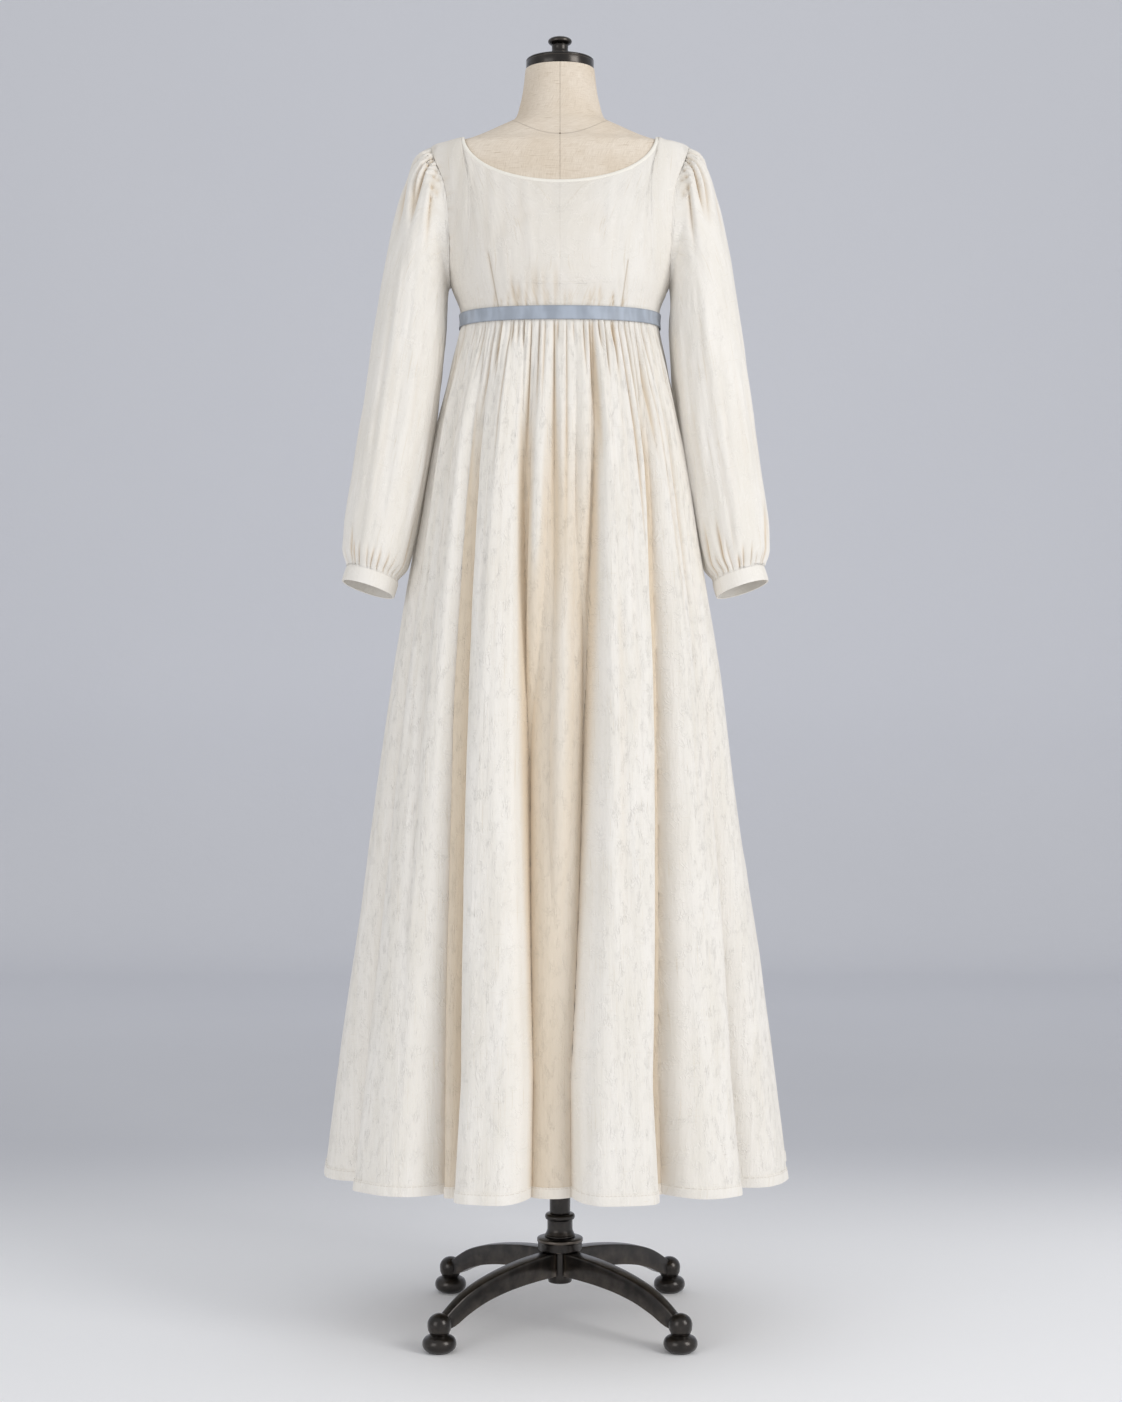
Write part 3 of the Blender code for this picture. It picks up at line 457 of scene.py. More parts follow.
def fold_painted_shade(angle, level):
    """Shade painted between the big folds, 0 on a fold's face, most at the foot of a fold's
    higher-angle side.
    """
    standing = np.zeros(np.broadcast(angle, level).shape)
    foot = np.zeros_like(standing)
    for away, reach, _ in big_folds(angle, level):
        standing = np.maximum(standing, 1.0 - ease_in(reach, FOLD_EDGE, 1.0))
        strength = np.where(away > 0, 1.0, NEAR_FOOT)
        foot = np.maximum(foot, strength * np.exp(-FOOT_FADE * np.maximum(0.0, reach - 1.0)))
    return (1.0 - standing) * (0.50 + 0.50 * foot)


def skirt_surface(angle, share, seed, out=0.0):
    """Points of the skirt and the shade painted on each, below nothing a painted highlight; share is 0
    at the waist, 1 at the hem.
    """
    top = waist_z(angle)
    z = top + (HEM_Z - top) * share
    level = WAIST_Z + (HEM_Z - WAIST_Z) * share
    turn = np.degrees(angle)
    crest = fold_share(angle, level)
    valley = skirt("fold", level) * (1.0 - crest)
    rise = np.zeros_like(z)
    # painted shade between the folds and in the creases and gathers, less a painted highlight along
    # each fold's rim
    rim = np.exp(-(((crest - RIM_AT) / RIM_SPREAD) ** 2))
    shade = fold_painted_shade(angle, level) * (1.10 - 0.25 * crest) - RIM_LIGHT * rim
    shade *= ease_in(share, 0.03, 0.25)
    for waist, hem, half, height, start, end in CREASES:
        away = turn_apart(turn, waist + (hem - waist) * share) / half
        fade = ease_in(share, start - 0.02, start + 0.08) * (1.0 - ease_in(share, end * 0.55, end))
        bell = np.exp(-away**2)
        rise += height * fade * bell
        flanks = np.exp(-(np.abs(away) - 1.35) ** 2 * 4)
        shade += CREASE_SHADE * fade * (flanks if height > 0 else bell)
    for turn_at, drift, depth, width, length in gather_table(seed):
        away = turn_apart(turn, turn_at + drift * share / 0.3)
        spread = width * (1.0 + 5.0 * share)
        fade = ease_in(share, 0.002, 0.016) * (1.0 - ease_in(share, length * 0.35, length))
        groove = notch(away, spread) * fade
        ridge = notch(away - np.sign(drift) * 2.2 * spread, spread) * fade
        rise += depth * (0.35 * ridge - groove)
        shade += GATHER_SHADE * groove * depth / DEEPEST_GATHER
    # the hand's unevenness, large and small
    around = turn / 360.0
    rise += 0.0011 * ease_in(share, 0.04, 0.3) * hand_noise(around * 96, share * 7, seed + 1, 96)
    ripple = hand_noise(around * 230, share * 34 + around * 40, seed + 2)
    rise += 0.0005 * ease_in(share, 0.02, 0.1) * ripple
    point = oval(angle, skirt("half_width", level), skirt("half_depth", level), z)
    radius = np.hypot(point[..., 0], point[..., 1])
    scale = (1.0 - valley) + (rise + out) / radius
    point[..., :2] *= scale[..., None]
    return point, np.clip(shade, -0.5, 1.0)


RIM_ANGLE = 60.0           # a sheet's cut edges stay crisp from this many degrees
WELD = 0.00002             # the closing columns of a tube are joined within this
LEAST_AREA = 0.31          # a bodice panel's area is raised to at least this share of its flat rectangle
HEM_CLEARANCE = 0.0010     # the panel ends this far above the hem's edge
GATHERED_SHARE = 0.25      # top share of the skirt that takes half of its rows
TOP_CUT = 0.62             # width of a panel's top over its hem, as cut
HEM_ROWS = 9
HEM_OUT = 0.0006           # the hem band's stand-off, its rounding and its ruffle
HEM_ROLL = 0.0003
HEM_RUFFLE = 0.0005
RIBBON_OUT = 0.0014 + WALL / 2 + RIBBON_WALL / 2 + SEAM
RIBBON_WAVE = 0.00035


# ---- cloth sheets ----
def clear_selection():
    if bpy.context.object and bpy.context.object.mode != "OBJECT":
        bpy.ops.object.mode_set(mode="OBJECT")
    bpy.ops.object.select_all(action="DESELECT")


def make_active(obj):
    clear_selection()
    obj.select_set(True)
    bpy.context.view_layer.objects.active = obj


def turn_outward(obj, middles):
    """Turn a sheet's faces away from its middles: points down a tube, or None for the Z axis."""
    mesh = obj.data
    normals = np.zeros(len(mesh.polygons) * 3)
    centres = np.zeros(len(mesh.polygons) * 3)
    mesh.polygons.foreach_get("normal", normals)
    mesh.polygons.foreach_get("center", centres)
    normals, centres = normals.reshape(-1, 3), centres.reshape(-1, 3)
    if middles is None:
        away = centres * (1.0, 1.0, 0.0)
    else:
        nearest = np.searchsorted(-middles[:, 2], -centres[:, 2]).clip(0, len(middles) - 1)
        away = centres - middles[nearest]
    if np.sum(normals * away) < 0:
        mesh.flip_normals()


def grid_mesh(name, points, cut):
    """A grid of faces through rows by columns of points, its UV map the places on the flat cloth."""
    rows, columns = points.shape[:2]
    clear_selection()
    bpy.ops.mesh.primitive_grid_add(x_subdivisions=columns - 1, y_subdivisions=rows - 1, size=1.0)
    obj = bpy.context.object
    obj.name = obj.data.name = name
    mesh = obj.data
    corners = np.zeros(len(mesh.loops), dtype=np.int32)
    mesh.loops.foreach_get("vertex_index", corners)
    mesh.uv_layers[0].name = "cut"
    places = cut.reshape(-1, 2)[corners].astype(np.float32)
    mesh.uv_layers[0].uv.foreach_set("vector", places.ravel())
    mesh.vertices.foreach_set("co", points.reshape(-1).astype(np.float32))
    mesh.update()
    return obj


def weld():
    """In edit mode, join the points that lie on each other."""
    bpy.ops.object.mode_set(mode="EDIT")
    bpy.ops.mesh.select_all(action="SELECT")
    bpy.ops.mesh.remove_doubles(threshold=WELD)


def cloth_sheet(name, points, cut, thickness, shade=None, tube=False, middles=None, shaded_inside=False):
    """A sheet of cloth through a grid of points, laid out flat as its UV map in metres.

    points is rows by columns by 3, cut is the same grid's places on the flat cloth, shade is the shade
    painted at each point in a fold, below nothing a painted highlight, tube joins the last column to
    the first, middles are the tube's middles, and the last flag gives the inner face the second
    material, a darker copy of the cloth that paints shade inside the tube.
    """
    obj = grid_mesh(name, points, cut)
    fold = obj.data.attributes.new("fold_shade", "FLOAT", "POINT")
    depth = np.zeros(points.shape[:2]) if shade is None else shade
    fold.data.foreach_set("value", depth.reshape(-1).astype(np.float32))
    if tube:
        weld()
        bpy.ops.object.mode_set(mode="OBJECT")
    turn_outward(obj, middles)
    wall = obj.modifiers.new("Wall", "SOLIDIFY")
    wall.thickness = thickness
    wall.offset = 0.0
    wall.use_even_offset = False
    wall.material_offset = 1 if shaded_inside else 0
    make_active(obj)
    bpy.ops.object.modifier_apply(modifier=wall.name)
    bpy.ops.object.shade_smooth_by_angle(angle=radians(RIM_ANGLE))
    return obj


def cloth_area(points):
    """Area in square metres of a grid of points."""
    across, down = points[:-1, 1:] - points[:-1, :-1], points[1:, :-1] - points[:-1, :-1]
    return float(np.linalg.norm(np.cross(across, down), axis=-1).sum())


def row_lengths(points):
    """Each row's length over its points."""
    return np.linalg.norm(np.diff(points, axis=1), axis=-1).sum(axis=1)


def cut_grid(points, widths, lengths):
    """Places on the flat cloth of a grid of points, from its width at each row and its length."""
    rows, columns = points.shape[:2]
    across = np.linspace(-0.5, 0.5, columns)[None, :] * np.asarray(widths, float).reshape(-1, 1)
    down = np.asarray(lengths, float).reshape(-1, 1)
    across, down = across * np.ones((rows, 1)), -down * np.ones((1, columns))
    return np.stack(np.broadcast_arrays(across, down), axis=-1)


# ---- skirt, hems and ribbon ----
def skirt_grid(side, shares, columns, seed, out=0.0):
    """Points and shade of half of the skirt: a row for each share of the drop, columns round it."""
    start = pi if side == "front" else 0.0
    angle, share = np.meshgrid(np.linspace(start, start + pi, columns), shares)
    points, shade = skirt_surface(angle, share, seed, out)
    points[:, (0, -1), 1] += SIDE_SIGN[side] * EASE / 2
    return points, shade


def push_out(points, metres):
    """Move points away from the upright axis."""
    points[..., :2] *= 1.0 + (metres / np.hypot(points[..., 0], points[..., 1]))[..., None]


def make_skirt(side, columns, rows, seed):
    """One gathered panel of the skirt and its turned hem, each with its flat size, and its area."""
    drop = WAIST_Z - HEM_Z
    first, last = EASE / drop, 1.0 - HEM_CLEARANCE / drop
    gathered = rows // 2
    steps = np.concatenate([np.linspace(0, GATHERED_SHARE, gathered, endpoint=False),
                            np.linspace(GATHERED_SHARE, 1, rows - gathered)])
    shares = first + (last - first) * steps
    points, shade = skirt_grid(side, shares, columns, seed)
    hem_width = float(row_lengths(points)[-1])
    top_width = hem_width * TOP_CUT
    widths = top_width + (hem_width - top_width) * shares
    cut = cut_grid(points, widths, shares * drop)
    panel = cloth_sheet(f"skirt_{side}_cloth", points, cut, WALL, shade)
    area = drop * (top_width + hem_width) / 2

    band_shares = np.linspace(1.0 - HEM_DEPTH / drop, 1.0, HEM_ROWS)
    band, band_shade = skirt_grid(side, band_shares, columns, seed, HEM_OUT)
    roll = np.sin(np.linspace(0, pi, HEM_ROWS)) ** 0.5 * HEM_ROLL
    push_out(band, roll[:, None])
    ruffle = hand_noise(np.linspace(0, 1, columns)[None, :] * 150, band[..., 2] * 60, seed + 9)
    push_out(band, HEM_RUFFLE * ruffle)
    band_cut = cut_grid(band, row_lengths(band), np.linspace(drop - HEM_DEPTH, drop, HEM_ROWS))
    hem = cloth_sheet(f"hem_{side}_band", band, band_cut, BAND_WALL, band_shade * 0.5)
    return panel, (hem_width, drop), area, hem, (float(row_lengths(band)[0]), HEM_DEPTH)


def make_ribbon(seed):
    """The flat ribbon round the raised waist, over the seam, and its flat size."""
    columns, rows = 601, 13
    edge = RIBBON_WIDTH / 2
    angle, rise = np.meshgrid(np.linspace(pi, 3 * pi, columns), np.linspace(edge, -edge, rows))
    z = waist_z(angle) + rise
    over_bodice = body_point(angle, z, CLOTH_OUT)
    over_skirt = oval(angle, skirt("half_width", z), skirt("half_depth", z), z)
    blend = ease_in(rise, edge, -edge)[..., None]
    points = over_bodice * (1 - blend) + over_skirt * blend
    points[..., 2] = z
    outward = unit(points * (1.0, 1.0, 0.0))
    wave = RIBBON_WAVE * hand_noise(np.degrees(angle) / 360 * 90, rise / 0.02 + 5, seed, 90)
    points = points + outward * (RIBBON_OUT + wave)[..., None]
    points[:, -1] = points[:, 0]
    width = float(row_lengths(points)[rows // 2])
    cut = cut_grid(points, np.full(rows, width), np.linspace(0, RIBBON_WIDTH, rows))
    obj = cloth_sheet("waist_ribbon_satin", points, cut, RIBBON_WALL, tube=True)
    return obj, (width, RIBBON_WIDTH)


# ---- bodice and neck binding ----
SHOULDER_SLOPE = (NECK_POINT_Z - SHOULDER_Z) / (float(body("half_width", SHOULDER_Z)) - NECK_HALF_WIDTH)


def neck_place(turn, drop, lower):
    """Angle and level on a line that lies so much lower than the neck edge; turn is 0 at the centre."""
    x = (NECK_HALF_WIDTH + lower) * np.sin(turn)
    z = NECK_POINT_Z - lower * SHOULDER_SLOPE - (drop + lower * (1 - SHOULDER_SLOPE)) * np.cos(turn)
    return body_angle(x, z), z


def neck_curve(side, count, lower=0.0):
    """Angles and levels from the centre to the neck point, closer near the shoulder."""
    turns = np.linspace(0.0, pi / 2, 801)
    angle, z = neck_place(turns, NECK_DROP[side], 0.0)
    points = body_skin(SIDE_SIGN[side] * angle, z)
    length = np.concatenate([[0.0], np.cumsum(np.linalg.norm(np.diff(points, axis=0), axis=1))])
    wanted = length[-1] * (1 - (1 - np.linspace(0.0, 1.0, count + 1)) ** 1.3)
    return neck_place(np.interp(wanted, length, turns), NECK_DROP[side], lower)


def armhole_angle(z):
    """The body's angle where the armhole seam passes a level; 0 is the side."""
    inside = (z > UNDERARM_Z + 0.0005) & (z < SHOULDER_Z - 0.0005)
    x = smooth_read(z, ARMHOLE_TABLE["z"], ARMHOLE_TABLE["x"])
    return np.where(inside, body_angle(x, z), 0.0)


def panel_grid(side, neck_columns, shoulder_columns, side_rows, arm_rows):
    """Grid of x and z of half a bodice front or back, from the waist to the neck and shoulder."""
    sign = SIDE_SIGN[side]
    columns = neck_columns + shoulder_columns
    angle, z = neck_curve(side, neck_columns, BINDING_WIDTH - 0.0008)
    top_x = body_skin(sign * angle, z)[:, 0]
    shoulder_z = np.linspace(z[-1], SHOULDER_Z, shoulder_columns + 1)[1:]
    top_x = np.concatenate([top_x, body("half_width", shoulder_z)])
    top_z = np.concatenate([z, shoulder_z])
    low_angle = sign * pi / 2 * (1 - np.linspace(0, 1, columns + 1))
    low_z = waist_z(low_angle) + EASE
    low_x = body_skin(low_angle, low_z)[:, 0]
    low = low_z[-1]
    side_z = np.linspace(low, UNDERARM_Z, side_rows, endpoint=False)
    arm_z = ARMHOLE_MIDDLE - ARMHOLE_HALF * np.cos(np.linspace(0, pi, arm_rows))
    edge_z = np.concatenate([side_z, arm_z])
    edge_x = body_skin(armhole_angle(edge_z), edge_z)[:, 0]
    v = ((edge_z - low) / (SHOULDER_Z - low))[:, None]
    u = np.linspace(0, 1, columns + 1)[None, :]
    x = (1 - v) * low_x + v * top_x + u * (edge_x[:, None] - (1 - v) * low_x[-1] - v * top_x[-1])
    z = (1 - v) * low_z + v * top_z + 0 * u
    return x, z, u + 0 * v, v + 0 * u


# Darts of each half front: x and z of the tip and of the foot.
DARTS = {"left": (0.0900, 1.4250, 0.0800, 1.3560), "right": (0.0945, 1.4340, 0.0800, 1.3560)}


def waist_puckers(side, x, height, draw):
    """Puckers that rise from the bodice's lower edge; height is over the ribbon's upper edge."""
    rise, shade = np.zeros_like(x), np.zeros_like(x)
    for _ in range(BODICE_PUCKERS):
        at = draw.uniform(0.004, 0.125 if side == "back" else 0.088)
        lean = draw.uniform(-0.10, 0.25) * at / 0.08
        length = draw.choice([0.014, 0.024, 0.036, 0.060])
        depth = draw.uniform(0.0008, DEEPEST_BODICE_PUCKER)
        spread = 0.0011 + 0.045 * np.maximum(height, 0.0)
        groove = notch(x - at - lean * height, spread) * fading(height, length)
        rise -= depth * groove
        shade += 0.60 * groove * depth / DEEPEST_BODICE_PUCKER
    return rise, shade


def dart_relief(hand, x, z):
    """The dart, and three soft folds that spread from its tip."""
    tip_x, tip_z, foot_x, foot_z = DARTS[hand]
    along = (tip_z - z) / (tip_z - foot_z)
    away = x - (tip_x + (foot_x - tip_x) * along)
    on = ease_in(along, -0.15, 0.10)
    rise = -0.0010 * notch(away, 0.0018) * on
    rise += 0.0006 * np.exp(-((away + 0.005) / 0.004) ** 2) * on
    shade = 0.30 * notch(away, 0.0016) * on
    over = z - tip_z
    for lean, reach in ((-1.10, 0.075), (-0.62, 0.100), (0.45, 0.060)):
        on = ease_in(over, 0.0, 0.030) * (1 - ease_in(over, reach * 0.5, reach))
        groove = notch((x - tip_x) - lean * over, 0.0050 + 0.10 * np.maximum(over, 0)) * on
        rise -= 0.0007 * groove
        shade += 0.07 * groove
    return rise, shade


def bodice_relief(side, hand, x, z, u, v, seed):
    """How far the bodice's cloth stands off its smooth form, and the shade painted on it in its folds
    and puckers.
    """
    draw = np.random.default_rng(seed)
    rise, shade = waist_puckers(side, x, z - (WAIST_Z + RIBBON_WIDTH / 2), draw)
    if side == "front":
        dart_rise, dart_shade = dart_relief(hand, x, z)
        rise += dart_rise
        shade += dart_shade
    # soft upright folds of the upper bodice
    for k in range(UPRIGHT_FOLDS):
        at = 0.045 + 0.020 * k + draw.uniform(-0.004, 0.004)
        lean = 0.05 - 0.16 * k / (UPRIGHT_FOLDS - 1)
        away = x - at - lean * (z - 1.50)
        on = ease_in(v, 0.25, 0.55) * draw.uniform(0.4, 1.0)
        rise += 0.0011 * np.exp(-(away / 0.006) ** 2) * on
        shade += 0.10 * np.exp(-((away - 0.009) / 0.004) ** 2) * on
    # short puckers along the side seam and the armhole
    for k in range(EDGE_PUCKERS):
        at = 0.10 + 0.85 * k / (EDGE_PUCKERS - 1) + draw.uniform(-0.02, 0.02)
        reach = draw.uniform(0.010, 0.028)
        off_edge = (1.0 - u) * 0.15
        groove = np.exp(-((v - at) / 0.011) ** 2) * fading(off_edge, reach)
        rise -= 0.0007 * groove
        shade += 0.16 * groove
    # the hand's unevenness, large and small
    rise += 0.0006 * hand_noise(x / 0.012 + 40, z / 0.075, seed + 3)
    rise += 0.0003 * hand_noise(x / 0.005 + 90, z / 0.028, seed + 4)
    edge = ease_in(u, 0.0, 0.02) * (1 - ease_in(u, 0.985, 1.0)) * (1 - ease_in(v, 0.985, 1.0))
    shade *= ease_in(u, 0.0, 0.01)
    # painted shade over the front, full on the wearer's right and fading out across the wearer's left
    if side == "front":
        shade += FRONT_SHADE if hand == "right" else FRONT_SHADE * (1 - ease_in(x, 0.03, 0.095))
    return rise * edge * ease_in(v, 0.0, 0.02), np.clip(shade, 0, 1)


def make_bodice(side, hand, seed):
    """Half a bodice front or back with its puckers and folds, its flat size and its area."""
    x, z, u, v = panel_grid(side, neck_columns=66, shoulder_columns=24, side_rows=22, arm_rows=92)
    sign = SIDE_SIGN[side]
    angle = body_angle(x, z)
    rise, shade = bodice_relief(side, hand, x, z, u, v, seed)
    points = body_point(sign * angle, z, CLOTH_OUT + rise)
    points[..., 0] = np.where(u == 0, CENTRE_GAP, points[..., 0])
    at_side = angle < 0.001
    points[..., 1] = np.where(at_side, sign * EASE / 2, points[..., 1])
    mirror = 1 if hand == "left" else -1
    points[..., 0] *= mirror
    widths = row_lengths(points)
    middle = points[:, points.shape[1] // 2]
    length = float(np.linalg.norm(np.diff(middle, axis=0), axis=1).sum())
    cut = cut_grid(points, widths, length * (1 - v[:, 0]))
    obj = cloth_sheet(f"bodice_{side}_{hand}_cloth", points, cut, WALL, shade)
    return obj, (float(widths.max()), float(z.max() - z.min())), cloth_area(points)


def make_binding():
    """The narrow rounded band round the neck edge."""
    count, rows = 90, 7
    rings = []
    for lower in np.linspace(0.0, BINDING_WIDTH, rows):
        out = BINDING_OUT + BINDING_ROUND * max(0.0, sin(pi * lower / BINDING_WIDTH)) ** 0.5
        quarters = {}
        for side, sign in SIDE_SIGN.items():
            angle, z = neck_curve(side, count, lower)
            quarters[side] = body_point(sign * angle, z, np.full(len(z), out))
        half = np.concatenate([quarters["front"][:-1], quarters["back"][::-1]])
        rings.append(np.concatenate([half, half[-2:0:-1] * (-1, 1, 1), half[:1]]))
    points = np.stack(rings)
    width = float(row_lengths(points)[rows // 2])
    cut = cut_grid(points, np.full(rows, width), np.linspace(0, BINDING_WIDTH, rows))
    return cloth_sheet("neck_binding_band", points, cut, BINDING_WALL, tube=True)


# ---- sleeves and cuffs ----
def armhole_ring(turn):
    """The sleeve's first ring, just off the armhole seam: shoulder tip, front, underarm, back."""
    z = ARMHOLE_MIDDLE + ARMHOLE_HALF * np.cos(turn)
    sign = np.where(np.sin(turn) > 0, -1, 1)
    points = body_point(sign * armhole_angle(z), z, np.full(z.shape, CLOTH_OUT))
    under = np.maximum(0.0, -np.cos(turn)) ** 2
    points[..., 0] += SEAM + WALL * under
    return points


def sleeve_ring(row, turn, swing):
    outer_x, outer_z, inner_x, inner_z, middle_y, half_depth, pitch = row
    outer, inner = np.array((outer_x, 0.0, outer_z)), np.array((inner_x, 0.0, inner_z))
    middle, half = (outer + inner) / 2, (outer - inner) / 2
    away = swing * (SHOULDER_Z - middle[2]) / (SHOULDER_Z - CUFF[0][1])
    points = middle + half * np.cos(turn)[:, None]
    y = -half_depth * np.sin(turn)
    points[:, 0] += away
    points[:, 1] = middle_y + y
    points[:, 2] -= pitch * y
    return points


def sleeve_grid(rings, along):
    """Points on smooth curves through rings; along runs from 0 to the last ring."""
    return smooth_read(along, np.arange(len(rings), dtype=float), np.stack(rings))


def head_relief(x, z, down, draw):
    """Gathers that leave the armhole seam near the shoulder tip and fall in long folds."""
    rise, shade = np.zeros_like(x), np.zeros_like(x)
    for drop, swing, soon, slant, length, depth in HEAD_GATHERS:
        start = SHOULDER_Z - drop - draw.uniform(-0.0008, 0.0008)
        fall = np.maximum(start - z, 0.0)
        seam_x = float(smooth_read(np.array([start]), ARMHOLE_TABLE["z"], ARMHOLE_TABLE["x"])[0])
        swung = np.exp(-fall / soon)
        path = seam_x + swing * (1.0 - swung) + slant * draw.uniform(0.85, 1.15) * fall
        slope = swing / soon * swung + slant
        away = (x - path) / np.sqrt(1.0 + slope**2)
        away = np.where(z > start, np.hypot(np.maximum(x - seam_x, 0.0) * 0.2, z - start), away)
        groove = notch(away, 0.0013 + 0.034 * fall) * fading(fall, length)
        groove *= ease_in(down, -0.002, 0.003)
        rise -= 1.60 * depth * groove
        ridge = np.exp(-((away - 0.0030 - 0.045 * fall) / (0.0018 + 0.030 * fall)) ** 2)
        rise += 0.65 * depth * ridge * fading(fall, length) * ease_in(down, 0.0, 0.004)
        shade += 0.90 * groove * depth / FULL_SHADE_HEAD_GATHER
    return rise, shade


def sleeve_relief(turn, x, z, down, seed):
    """How far the sleeve's cloth stands out, and the shade painted on it in its folds and gathers; down
    is in metres.
    """
    draw = np.random.default_rng(seed)
    rise, shade = head_relief(x, z, down, draw)
    # the head's gathers are weak on the line that faces straight outwards
    outer = 0.15 + 0.85 * ease_in(np.abs(np.sin(turn)), 0.05, 0.50)
    rise, shade = rise * outer, shade * outer
    length = down[-1, 0]
    angle = np.degrees(turn)
    # long soft folds down the sleeve
    for k in range(SLEEVE_FOLDS):
        at = 360.0 * k / SLEEVE_FOLDS + draw.uniform(-8, 8)
        start, end = draw.uniform(0.03, 0.25), draw.uniform(0.32, 0.58)
        away = turn_apart(angle, at + draw.uniform(-14, 14) * down / 0.4)
        on = ease_in(down, start, start + 0.10) * (1 - ease_in(down, end - 0.12, end))
        rise += 0.0020 * np.exp(-(away / 7.0) ** 2) * on
        shade += 0.24 * np.exp(-((away - 9.0) / 6.0) ** 2) * on
    # gathers that rise from the cuff
    up = length - down
    for k in range(CUFF_PUCKERS):
        at = 360.0 * k / CUFF_PUCKERS + draw.uniform(-4.5, 4.5)
        reach = draw.choice([0.024, 0.042, 0.065, 0.100])
        depth = draw.uniform(0.0024, DEEPEST_CUFF_PUCKER)
        away = turn_apart(angle, at + draw.uniform(-5, 5) * up / 0.05)
        spread = 2.0 + 42.0 * up
        groove = notch(away, spread) * ease_in(up, 0.0, 0.004) * fading(up, reach)
        rise -= depth * groove
        shade += 1.20 * groove * depth / DEEPEST_CUFF_PUCKER
    # the hand's unevenness, large and small
    below_head = ease_in(down, 0.02, 0.1)
    rise += 0.0013 * hand_noise(angle / 360 * 24 + 1, down / 0.09, seed + 5, 24) * below_head
    rise += 0.0006 * hand_noise(angle / 360 * 60 + 1, down / 0.030, seed + 6, 60) * below_head
    rise *= 1 - ease_in(down, length - 0.002, length)
    return rise, np.clip(shade, 0, 1)


def arm_tube(name, hand, points, middles, lengths, thickness, shade=None):
    """The sheet of a sleeve or cuff on the wearer's left or right, its greatest width and its area."""
    points[:, -1] = points[:, 0]
    mirror = 1 if hand == "left" else -1
    points[..., 0] *= mirror
    middles[:, 0] *= mirror
    widths = row_lengths(points)
    cut = cut_grid(points, widths, lengths)
    obj = cloth_sheet(name, points, cut, thickness, shade, True, middles, shaded_inside=True)
    return obj, float(widths.max()), cloth_area(points)


def make_sleeve(hand, columns, rows, seed):
    """One long sleeve, gathered over its head and into its cuff, its flat size and its area."""
    turn = np.linspace(0, 2 * pi, columns)
    rings = [armhole_ring(turn)] + [sleeve_ring(row, turn, SLEEVE_SWING[hand]) for row in SLEEVE]
    last = len(rings) - 1
    fine_along = np.linspace(0, last, 400)
    fine = sleeve_grid(rings, fine_along)
    middles = fine[:, :-1].mean(axis=1)
    run = np.concatenate([[0.0], np.cumsum(np.linalg.norm(np.diff(middles, axis=0), axis=1))])
    # the rows lie a little closer at both ends
    s = np.linspace(0, 1, rows)
    s = 0.5 * s + 0.5 * (s**1.6 * 0.6 + (1 - (1 - s) ** 2.2) * 0.4)
    points = sleeve_grid(rings, np.interp(s * run[-1], run, fine_along))
    down = (s * run[-1])[:, None] + np.zeros((1, columns))
    middles = points[:, :-1].mean(axis=1)
    turns = np.broadcast_to(turn, down.shape)
    rise, shade = sleeve_relief(turns, points[..., 0], points[..., 2], down, seed)
    around = np.roll(points[:, :-1], -1, axis=1) - np.roll(points[:, :-1], 1, axis=1)
    around = np.concatenate([around, around[:, :1]], axis=1)
    normal = unit(np.cross(np.gradient(points, axis=0), around))
    normal *= np.sign(np.sum(normal * (points - middles[:, None]), axis=-1, keepdims=True))
    points = points + normal * rise[..., None]
    name = f"sleeve_{hand}_cloth"
    obj, width, area = arm_tube(name, hand, points, middles, down[:, 0], WALL, shade)
    return obj, (width, float(run[-1])), area


def make_cuff(hand, columns):
    """A plain narrow band at the wrist, and its flat size."""
    turn = np.linspace(0, 2 * pi, columns)
    rows = 15
    swing = SLEEVE_SWING[hand]
    rings = [sleeve_ring(row, turn, swing) for row in CUFF]
    share = np.linspace(-0.05, 1, rows)[:, None, None]
    points = rings[0][None] * (1 - share) + rings[1][None] * share
    middles = points[:, :-1].mean(axis=1)
    outward = unit(points - middles[:, None])
    roll = 0.0007 * np.sin(pi * np.linspace(0, 1, rows)[:, None, None]).clip(0) ** 0.4 - 0.0001
    points = points + outward * roll
    depth = float(np.linalg.norm(rings[1] - rings[0], axis=1).mean())
    lengths = share[:, 0, 0] * depth
    obj, width, _ = arm_tube(f"cuff_{hand}_band", hand, points, middles, lengths, BAND_WALL)
    return obj, (width, depth)


# ---- dress form ----
def form_tuck(angle, z):
    """How far the form lies inside the body that the bodice is cut for: least where it shows."""
    x = np.minimum(np.abs(body_skin(angle, z)[..., 0]), NECK_HALF_WIDTH)
    drop = np.where(np.sin(angle) < 0, FRONT_NECK_DROP, BACK_NECK_DROP)
    edge = NECK_POINT_Z - drop * np.sqrt(1 - (x / NECK_HALF_WIDTH) ** 2)
    least = np.where(z < 1.63, 0.0006, 0.0)
    return np.clip((edge - 0.003 - z) * 0.30, least, 0.0060)


